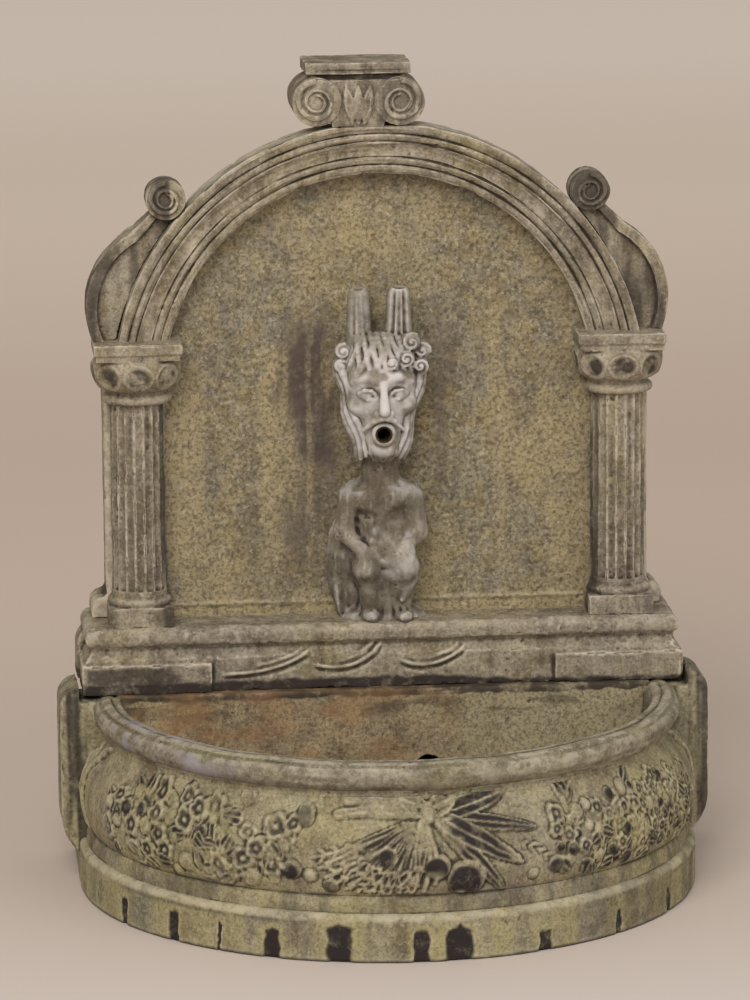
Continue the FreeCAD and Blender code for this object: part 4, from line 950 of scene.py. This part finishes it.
def plinth_piece():
    """Plinth with waves, a painted shadow along its bottom edge and a blot on the left pedestal."""
    plinth, points = cast("plinth", 0.75, 3, wobble=0.4, carve=wave_crests)
    x, z = points[:, 0], points[:, 2]
    # Painted shadow along the plinth's bottom edge, as under an overhang, widest from the middle to the left
    # end.
    thick = PLINTH_LOW[2] + 1.6 + 2.6 * ramp(x, 75, 0)
    under_shadow = ramp(z + 0.8 * fractal(points, 6, 93) - thick, 1.6, 0.0)
    blot = ramp(np.abs(x + 116 + 4 * fractal(points, 9, 94)), 22, 16) * ramp(np.abs(z - 93.5), 7, 5)
    finish_piece(plinth, WALL, WALL_STONE, np.maximum(under_shadow, 0.8 * blot))


side_pieces("left", 1)
side_pieces("right", -1)
arch_piece()
crown_piece()
plinth_piece()


# Figure, built up like clay

def at(x, out, up):
    """World point of a place on the figure: sideways, out from the slab, up from the mouth."""
    return np.array([x, SLAB_FRONT - out, MOUTH_Z + up])


class Clay:
    """Distance field on a grid of millimetres, built up from masses with soft joins.

    Masses are placed sideways, out from the slab and up from the mouth; a negative blend carves them out.
    """

    def __init__(self, low, high, step):
        self.low = np.array(low, float)
        self.step = step
        self.axes = [np.arange(a, b + step, step) for a, b in zip(low, high)]
        self.field = np.full([len(axis) for axis in self.axes], 9.0)

    def window(self, low, high, blend):
        """Part of the grid round a box, and its points."""
        margin = abs(blend) + 3
        part = []
        for axis, a, b in zip(self.axes, low, high):
            part.append(slice(*np.searchsorted(axis, [a - margin, b + margin])))
        lines = [axis[p] for axis, p in zip(self.axes, part)]
        return tuple(part), np.stack(np.meshgrid(*lines, indexing="ij"), -1)

    def join(self, part, d, blend):
        sign = math.copysign(1, blend)
        f = sign * self.field[part]
        h = np.clip(0.5 + 0.5 * (f - d) / abs(blend), 0, 1)
        self.field[part] = sign * (f + (d - f) * h - abs(blend) * h * (1 - h))

    def ball(self, centre, radii, blend=2.0):
        """Ellipsoid, or ball where radii is one number."""
        centre = at(*centre)
        radii = np.broadcast_to(radii, 3)
        part, place = self.window(centre - radii, centre + radii, blend)
        u = (place - centre) / radii
        near = np.linalg.norm(u, axis=-1)
        slope = np.linalg.norm(u / radii, axis=-1)
        self.join(part, near * (near - 1) / np.maximum(slope, 1e-6), blend)

    def limb(self, start, stop, thick, thin, blend=2.0):
        """Round bar that tapers from thick to thin."""
        a, b = at(*start), at(*stop)
        reach = max(thick, thin)
        part, place = self.window(np.minimum(a, b) - reach, np.maximum(a, b) + reach, blend)
        run = b - a
        t = np.clip((place - a) @ run / run.dot(run), 0, 1)
        d = np.linalg.norm(place - a - t[..., None] * run, axis=-1)
        self.join(part, d - thick - (thin - thick) * t, blend)

    def chain(self, path, thick, thin, blend=1.0):
        sizes = np.linspace(thick, thin, len(path))
        for k in range(len(path) - 1):
            self.limb(path[k], path[k + 1], sizes[k], sizes[k + 1], blend)

    def ring(self, centre, major, minor, blend=1.0):
        """Torus round a line along Y."""
        centre = at(*centre)
        reach = np.array([major + minor, minor, major + minor])
        part, place = self.window(centre - reach, centre + reach, blend)
        x, y, z = np.moveaxis(place - centre, -1, 0)
        self.join(part, np.hypot(np.hypot(x, z) - major, y) - minor, blend)

    def surface(self):
        """Points and quads of the zero level: one point for each cell that the surface crosses."""
        shape = np.array(self.field.shape)
        cells = shape - 1
        total = np.zeros((cells.prod(), 3))
        count = np.zeros(cells.prod())
        quads = []
        for axis in range(3):
            near = np.take(self.field, np.arange(shape[axis] - 1), axis)
            far = np.take(self.field, np.arange(1, shape[axis]), axis)
            spots = np.argwhere((near < 0) != (far < 0))
            cross = [(axis + 1) % 3, (axis + 2) % 3]
            spots = spots[((spots[:, cross] > 0) & (spots[:, cross] < shape[cross] - 1)).all(1)]
            start = near[tuple(spots.T)]
            stop = far[tuple(spots.T)]
            place = spots.astype(float)
            place[:, axis] += start / (start - stop)
            ring = []
            for step in ((0, 0), (-1, 0), (-1, -1), (0, -1)):
                cell = spots.copy()
                cell[:, cross] += step
                index = np.ravel_multi_index(cell.T, cells)
                for k in range(3):
                    total[:, k] += np.bincount(index, place[:, k], minlength=len(count))
                count += np.bincount(index, minlength=len(count))
                ring.append(index)
            quad = np.stack(ring, 1)
            quads.append(np.where((start < 0)[:, None], quad, quad[:, ::-1]))
        used = count > 0
        number = np.cumsum(used) - 1
        return total[used] / count[used, None] * self.step + self.low, number[np.concatenate(quads)]


def model_head(clay):
    """Skull, jaw, nose, brows, closed eyes, moustache, beard and the open mouth round the pipe."""
    clay.ball((0, 16.5, 22), (17.5, 16.5, 17))
    clay.ball((0, 16.5, 32), (17.8, 15.5, 13), 4)
    clay.limb((0, 18.5, 20), (0, 24, -2), 15.5, 8.6, 5)
    clay.ball((0, 28.5, -7.5), (5.4, 4.8, 4.4), 3)
    clay.limb((0, 33.4, 25), (0, 38.0, 11.5), 2.0, 2.7, 1.6)
    for h in (-1, 1):
        clay.ball((h * 10.6, 25.2, 12.5), (5.4, 5.0, 4.8), 3)
        clay.chain([(h * 2.6, 33.6, 25.4), (h * 7.6, 32.8, 26.4), (h * 13.4, 28.6, 23.8)], 1.7, 1.2, 2.2)
        clay.ball((h * 2.7, 35.8, 10.2), 2.0, 0.9)
        clay.ball((h * 7.2, 35.6, 19.2), (4.9, 4.6, 4.0), -1.4)
        clay.ball((h * 7.1, 29.8, 18.6), 3.5, 0.4)
        lid = [(h * 3.4, 32.4, 18.0), (h * 5.4, 33.3, 20.2), (h * 8.6, 32.9, 20.6), (h * 11.2, 30.4, 18.6)]
        clay.chain(lid, 0.8, 0.7, 0.6)
        clay.chain([(h * 3.6, 32.2, 17.2), (h * 7.0, 32.6, 15.9), (h * 11.0, 30.2, 17.8)], 0.6, 0.5, 0.6)
        clay.chain([(h * 1.2, 36.4, 8.2), (h * 4.6, 34.8, 6.6), (h * 9.4, 30.8, 1.5)], 1.7, 0.9, 0.9)
        for k in range(3):
            lock = [(h * (1.3 + 2.1 * k), 30.6 - 1.2 * k, -5.5), (h * (1.5 + 2.0 * k), 31.2 - 1.6 * k, -9.5),
                    (h * (0.8 + 1.5 * k), 28 - k, -13.5)]
            clay.chain(lock, 1.5, 0.8, 0.6)
    clay.ring((0, 33.4, 0), 4.4, 1.2, 1.4)
    clay.limb((0, 44, 0), (0, 30, 0), 3.4, 3.4, -0.6)
    clay.limb((0, 32.6, 0), (0, 16, 0), 4.2, 4.2, -0.3)


def wavy(start, stop, sway, beats, count=10):
    """Path of a lock of hair from start to stop."""
    path = []
    for t in np.linspace(0, 1, count):
        x, out, up = [a + (b - a) * t for a, b in zip(start, stop)]
        path.append((x + sway * math.sin(beats * t), out + 0.6 * sway * math.cos(beats * t), up))
    return path


def brow_out(x, up):
    """How far the skull's front stands out at a place."""
    return 16.5 + 15.5 * math.sqrt(max(0.02, 1 - (x / 17.8) ** 2 - ((up - 32) / 13) ** 2))


# Curls: sideways, out, up, radius
CURLS = ((13.5, 25, 41.5, 4.6), (18.6, 21, 37, 4.6), (10.8, 29, 34.5, 3.8), (17.6, 23, 30, 4.2),
         (-17.5, 21, 37, 3.6), (-18.6, 20, 30, 3.4), (4.0, 31, 33, 3.0))
# Long locks, the same on both sides: start, stop, thickness
LOCKS = (((17.6, 23, 27), (7.0, 27.0, -11), 2.1), ((18.8, 19.5, 26), (9.0, 23, -13), 2.4),
         ((18.6, 15.5, 25), (10.5, 18, -14), 2.8))
# Horns: side, root and tip sideways, extra thickness
HORNS = ((-1, -9.2, -9.8, 0.0), (1, 8.6, 9.0, 0.7))


def model_hair(clay):
    """Fringe, curls, long locks and two fluted horns."""
    for k, x in enumerate(np.linspace(-15.0, 15.0, 12)):
        low = 29.5 - 0.02 * x * x + 1.5 * (k % 2)
        path = []
        for t in np.linspace(0, 1, 10):
            up = 44 + (low - 44) * t
            side = x * (0.72 + 0.28 * t) + 0.9 * math.sin(7 * t + 2.1 * k)
            path.append((side, brow_out(side, up) + 0.5, up))
        clay.chain(path, 1.6, 1.1, 0.4)
    for x, out, up, size in CURLS:
        clay.ball((x, out, up), size, 0.8)
        path = []
        for k in range(17):
            r = size * (0.92 - 0.055 * k)
            a = 0.6 * k + x
            rise = math.sqrt(size * size - r * r) + 0.35
            path.append((x + r * math.cos(a), out + rise, up + r * math.sin(a)))
        clay.chain(path, 0.95, 0.7, 0.25)
    for hand, root, tip, broad in HORNS:
        for (x0, *start), (x1, *stop), size in LOCKS:
            path = wavy((hand * x0, *start), (hand * x1, *stop), 0.9, 8 + start[0] / 9)
            clay.chain(path, size, size * 0.6, 0.5)
        clay.limb((root, 17, 38), (tip, 15.5, 61), 6.2 + broad, 4.8 + broad, 1.5)
        for shift in (-3.4, -0.4, 2.6):
            clay.limb((root + shift, 23.0 - 0.12 * shift * shift, 45),
                      (tip + shift * 0.75, 20.8 - 0.1 * shift * shift, 66), 1.05, 0.95, -0.5)
        clay.ball((tip, 16, 66), (3.0, 3.4, 2.4), -1.0)


def model_body(clay):
    """Neck, trunk, seat, arms, knees, feet and the folds of the cloth."""
    clay.limb((0, 15, -5), (0, 12, -27), 7.6, 9.0, 4)
    clay.ball((0.5, 10.5, -35), (15, 10.5, 10), 5)
    clay.ball((1, 11, -50), (12, 10.5, 13), 5)
    clay.ball((2, 10, -67), (15, 11, 11), 5)
    clay.limb((2, 9, -70), (2, 7, -90), 12, 11, 4)
    clay.ball((1, 7, -91), (20, 14, 6.5), 4)
    clay.ball((-15, 2.5, -66), (9.5, 5, 24), 5)
    for h in (-1, 1):
        clay.ball((h * 5.6, 18.2, -33), (5.4, 3.4, 4.4), 3)
        clay.ball((h * 12.6, 12, -32), 6.2, 4)
        clay.limb((h * 15.0, 13, -34), (h * 17.0, 15, -49), 5.0, 4.2, 3)
        clay.limb((h * 17.0, 15, -49), (h * 8.5, 21.5, -58), 4.2, 3.6, 2.5)
        clay.ball((h * 5.8 + 1, 22, -59.5), (4.2, 3.0, 3.0), 1.5)
        clay.limb((h * 6 + 2, 12, -69), (h * 9.0 + 2, 20.5, -65), 8.0, 6.4, 3)
        clay.limb((h * 9.0 + 2, 20, -66), (h * 7.0 + 2.5, 16, -85), 5.8, 4.2, 2.5)
        clay.ball((h * 7.6 + 2.5, 19.5, -88), (3.8, 6.4, 2.8), 2)
    for k in range(5):
        fold = [(-11 + k, 14.5, -40 - 5.2 * k), (-4, 19.6, -48 - 4.4 * k), (6, 21.6, -55 - 3.4 * k),
                (14, 20.5, -58 - 3.4 * k)]
        clay.chain(fold, 1.3, 1.6, 2.6)
    hem = [(-13, 17, -52), (0, 22.5, -62), (13, 23.5, -61), (15, 21, -70), (9, 22.5, -80)]
    clay.chain(hem, 1.8, 1.2, 1.8)
    for k, x in enumerate((-5.5, -2.6, 0.6, 3.8, 7.0)):
        fold = [(x + 1, 18.8, -68 - k), (x * 1.1 + 1.6, 19.0, -77), (x * 1.2 + 2, 17.6, -86 + 2 * (k % 2))]
        clay.chain(fold, 1.2, 1.7, 1.4)
    for k in range(4):
        x = -22 + 3.6 * k
        clay.chain([(x + 5, 5.2, -46 - k), (x + 2.5, 7.0, -62), (x + 3, 6.4, -88)], 1.0, 1.4, 2.4)


def rough_body(points, normals):
    """Coarse upright tool marks below the neck."""
    marks = 0.5 * fractal(points * (1, 1, 0.35), 3.4, 85, 2) - 0.35 * pitted(points, 3.6, 86)
    return ramp(points[:, 2] - MOUTH_Z, -10, -18) * marks


def figure_piece():
    low = (-33, FIGURE_LOW[1] - 8, PLINTH_TOP - 1.5)
    clay = Clay(low, (33, SLAB_FRONT + 1.5, FIGURE_HIGH[2] + 6), 0.55)
    model_body(clay)
    model_head(clay)
    model_hair(clay)
    figure = new_object("spout_figure_cast", *clay.surface())
    put_points(figure, relaxed(figure, 2, share=0.4))
    weathered(figure, wobble=0.4, grain=0.03, chips=0.2, carve=rough_body, pits=0.0)
    points = points_of(figure)
    normals = normals_of(figure)
    # Pale paint of the face and lap is kept to forward-facing surfaces, and ledges below the neck that face
    # up are paler: partly the figure's own pale paint, partly painted light from the front and above.
    front = ramp(-normals[:, 1], 0.0, 0.75)
    x, up = points[:, 0], points[:, 2] - MOUTH_Z
    cloud = patches(points, 6, 77, -0.7, 0.3, 0.15) * ramp(sunken(figure), 0.22, 0.0, 0.1)
    cloud *= ramp(np.hypot(x, up), 4.5, 8.0, 0.2)
    lap = ramp(up, -78, -66) * ramp(up, -48, -56) * ramp(x, -4, 6)
    ledge = ramp(normals[:, 2], 0.1, 0.55) * ramp(up, -12, -18) * patches(points, 6, 78, -0.5, 0.2)
    face = ramp(up, -14, -6) * ramp(up, 44, 32, 0.3) * front
    pale = np.maximum.reduce([face, 0.4 * lap * front, 0.45 * ledge])
    neck = ramp(up, -8, -14) * ramp(up, -50, -38)
    deep = ramp(up, -52, -60) * ramp(up, -92, -84) * patches(points, 11, 79, -0.5, 0.3)
    brown = np.maximum(0.5 * neck, 0.75 * deep * (1 - lap))
    finish_piece(figure, FIGURE, FIGURE_STONE, 0.7 * pale * cloud, brown)


figure_piece()


# Niche panel and cores

NICHE_HALF = 103.0
# Dark bands on the panel beside the figure: x and z of the top, x and z of the bottom, half width, amount
DARK_BANDS = ((-35, 250, -24.5, 184, 8.5, 1.0), (-30, 256, -34, 215, 8.5, 0.95), (30, 262, 30, 172, 5, 0.45),
          (-30, 184, -34, 136, 13, 0.6), (24, 258, 26, 225, 4, 0.4))


def panel_piece():
    """Stippled sheet over the front of the slab inside the niche."""
    across = np.linspace(-NICHE_HALF, NICHE_HALF, 272)[:, None]
    top = ARCH_Z + np.sqrt(np.maximum(NICHE_HALF ** 2 - across ** 2, 0)) + 0.5
    z = PLINTH_TOP - 0.5 + np.linspace(0, 1, 276) * (top - PLINTH_TOP + 0.5)
    place = np.stack(np.broadcast_arrays(across, SLAB_FRONT, z), 2)
    lift = 1.0 + 0.4 * fractal(place, 24, 51) + 0.25 * fractal(place, 4.5, 52, 2)
    lift += 0.26 * noise(place, 1.5, 53)
    lift -= 0.45 * pitted(place * (1, 1, 0.7), 2.6, 54) + 0.4 * pitted(place * (1, 1, 0.7), 5.5, 57)
    strip = ramp(z, PLINTH_TOP + 6.5, PLINTH_TOP + 5.2)
    place[:, :, 1] -= np.maximum(lift + 1.6 * strip, 0.15)
    panel = new_object("niche_panel", place, grid_faces(*z.shape))
    panel.data.flip_normals()
    stain = np.zeros(z.shape)
    wave = across + 5 * fractal(place, 20, 56)
    streaky = patches(place * (1, 1, 0.12), 3.5, 59, -0.6, 0.3, 0.35)
    for x0, z0, x1, z1, half, amount in DARK_BANDS:
        t = np.clip((z0 - z) / (z0 - z1), 0, 1)
        d = np.abs(wave - (x0 + (x1 - x0) * t)) / half
        ends = ramp(z, z1 - 14, z1 + 10) * ramp(z, z0 + 12, z0 - 12)
        stain = np.maximum(stain, amount * ramp(d, 1.7, 0.2) * ends * streaky)
    ochre = 0.8 * patches(place * (1, 1, 0.35), 22, 58, -0.1, 0.5)
    finish_piece(panel, WALL, PANEL_STONE, stain, np.maximum(ochre * (1 - stain), 0.9 * strip))


def core_pieces():
    """Slab and basin behind the dressed faces, and the partition of the pool."""
    slab, _ = cast("back_slab", 1.3, 2, wobble=0.25, grain=0.15, chips=0.5)
    finish_piece(slab, WALL, WALL_STONE)
    basin = remeshed("basin", 1.5, 1)
    points = points_of(basin)
    push = -0.35 - 0.3 * fractal(points, 14, 61) - 0.15 * fractal(points, 4, 62, 2)
    put_points(basin, points + normals_of(basin) * np.minimum(push, 0)[:, None])
    rust = 0.5 * patches(points, 30, 63, -0.3, 0.5) * ramp(points[:, 1], 58, 46)
    finish_piece(basin, BASE, POOL_STONE, rust)
    partition, points = cast("partition", 0.9, 2, wobble=0.35, grain=0.15, chips=0.6)
    z = points[:, 2]
    place = points[:, 0] + 45 * fractal(points * (1, 1, 0.4), 26, 64)
    rust = 0.5 * ramp(place, 60, -60) * patches(points * (0.5, 1, 1.6), 9, 65, -0.5, 0.6)
    strokes = 0.9 * patches(points * (0.3, 1, 1.8), 8, 66, 0.0, 0.5) * ramp(z, RIM_Z - 22, RIM_Z - 8)
    # Painted shadow at the top of the partition, under the plinth.
    under = 1.6 * ramp(z + fractal(points, 8, 67), RIM_Z - 4.5, RIM_Z - 1.5)
    green = 0.8 * ramp(place, -20, 70)
    finish_piece(partition, BASE, POOL_STONE, rust, green, np.maximum(strokes, under) - 0.3)


panel_piece()
core_pieces()

NODE_MATERIALS = (
    (BRASS, ["spout_pipe"]), (VINYL, ["riser_tube"]), (CERAMIC, ["impeller_shaft"]),
    (PUMP, ["pump_housing", "pump_cover"]),
    (FITTING, ["spout_elbow", "outlet_barb", "impeller", "flow_dial"]),
    (RUBBER, ["cord_bung", "suction_cups", "cable_gland", "rear_bush", "front_bush", "cover_seal"]))
for material, nodes in NODE_MATERIALS:
    for node in nodes:
        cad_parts[node].data.materials.clear()
        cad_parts[node].data.materials.append(material)


# Camera, light and stage

TARGET = Vector((0, 69.5, 190)) * MM
DISTANCE = 2.6
AZIMUTH = math.radians(-5.5)
ELEVATION = math.radians(12)
ROLL = math.radians(-0.38)
LENS = 203.2
SENSOR = 36
AIM_LEFT = 1.8 * MM
AIM_DOWN = 18.4 * MM
# Lamps: name, place, size, power, colour
LAMPS = (("key", (-0.65, -1.8, 1.7), 1.3, 40, (1, 0.98, 0.96)),
         ("fill", (1.3, -1.6, 1.3), 1.6, 12, (0.97, 0.98, 1)))
LAMP_AIM = Vector((0, 0.05, 0.18))
# Paper tones with painted light, from the front edge of the floor to the back, each with its place in
# metres: darkest round the object and lighter far back, where the lamps' light falls off
PAPER_PAINTED_LIGHT = ((-0.35, "cec4be"), (0.1, "c4b6aa"), (0.9, "d0bdaf"), (2.1, "eeded0"),
         (3.1, "fdf1e6"))
FLOOR_REACH = 7000.0
SKY = "ece6de"
SKY_STRENGTH = 0.6


def add_camera():
    level = math.cos(ELEVATION)
    back = Vector((math.sin(AZIMUTH) * level, -math.cos(AZIMUTH) * level, math.sin(ELEVATION)))
    turn = back.to_track_quat("Z", "Y").to_matrix()
    aim = TARGET - turn.col[0] * AIM_LEFT - turn.col[1] * AIM_DOWN
    camera = bpy.data.cameras.new("camera")
    camera.lens = LENS
    camera.sensor_fit = "AUTO"
    camera.sensor_width = SENSOR
    obj = linked("camera", camera)
    place = Matrix.Translation(aim + back * DISTANCE)
    obj.matrix_world = place @ turn.to_4x4() @ Matrix.Rotation(ROLL, 4, "Z")
    bpy.context.scene.camera = obj


def add_lamp(name, place, size, power, colour):
    lamp = bpy.data.lights.new(name, "AREA")
    lamp.size = size
    lamp.energy = power
    lamp.color = colour
    obj = linked(name, lamp)
    obj.location = place
    obj.rotation_euler = (LAMP_AIM - Vector(place)).to_track_quat("-Z", "Y").to_euler()


def add_stage():
    """Wide pale floor with painted light that grows lighter towards the back."""
    n = Nodes("stage_paper_painted_light")
    depth = n.add("ShaderNodeSeparateXYZ", "Y", {"Vector": n.place})
    paper_painted_light = PAPER_PAINTED_LIGHT[0][1]
    for (start, _), (stop, tint) in zip(PAPER_PAINTED_LIGHT[:-1], PAPER_PAINTED_LIGHT[1:]):
        paper_painted_light = n.mix(n.span(depth, start, stop), paper_painted_light, tint)
    n.shade({"Base Color": paper_painted_light, "Roughness": 0.95, "Specular IOR Level": 0.1})
    points = np.array([(x, y, 0) for y in (-FLOOR_REACH, FLOOR_REACH) for x in (-FLOOR_REACH, FLOOR_REACH)])
    stage = new_object("stage", points, grid_faces(2, 2))
    stage.data.flip_normals()
    stage.data.materials.append(n.material)


def add_world():
    world = bpy.data.worlds.new("studio")
    world.use_nodes = True
    bpy.context.scene.world = world
    back = world.node_tree.nodes["Background"]
    back.inputs["Color"].default_value = linear(SKY)
    back.inputs["Strength"].default_value = SKY_STRENGTH


add_camera()
add_stage()
add_world()
for lamp in LAMPS:
    add_lamp(*lamp)

bpy.context.scene.view_settings.view_transform = "Standard"
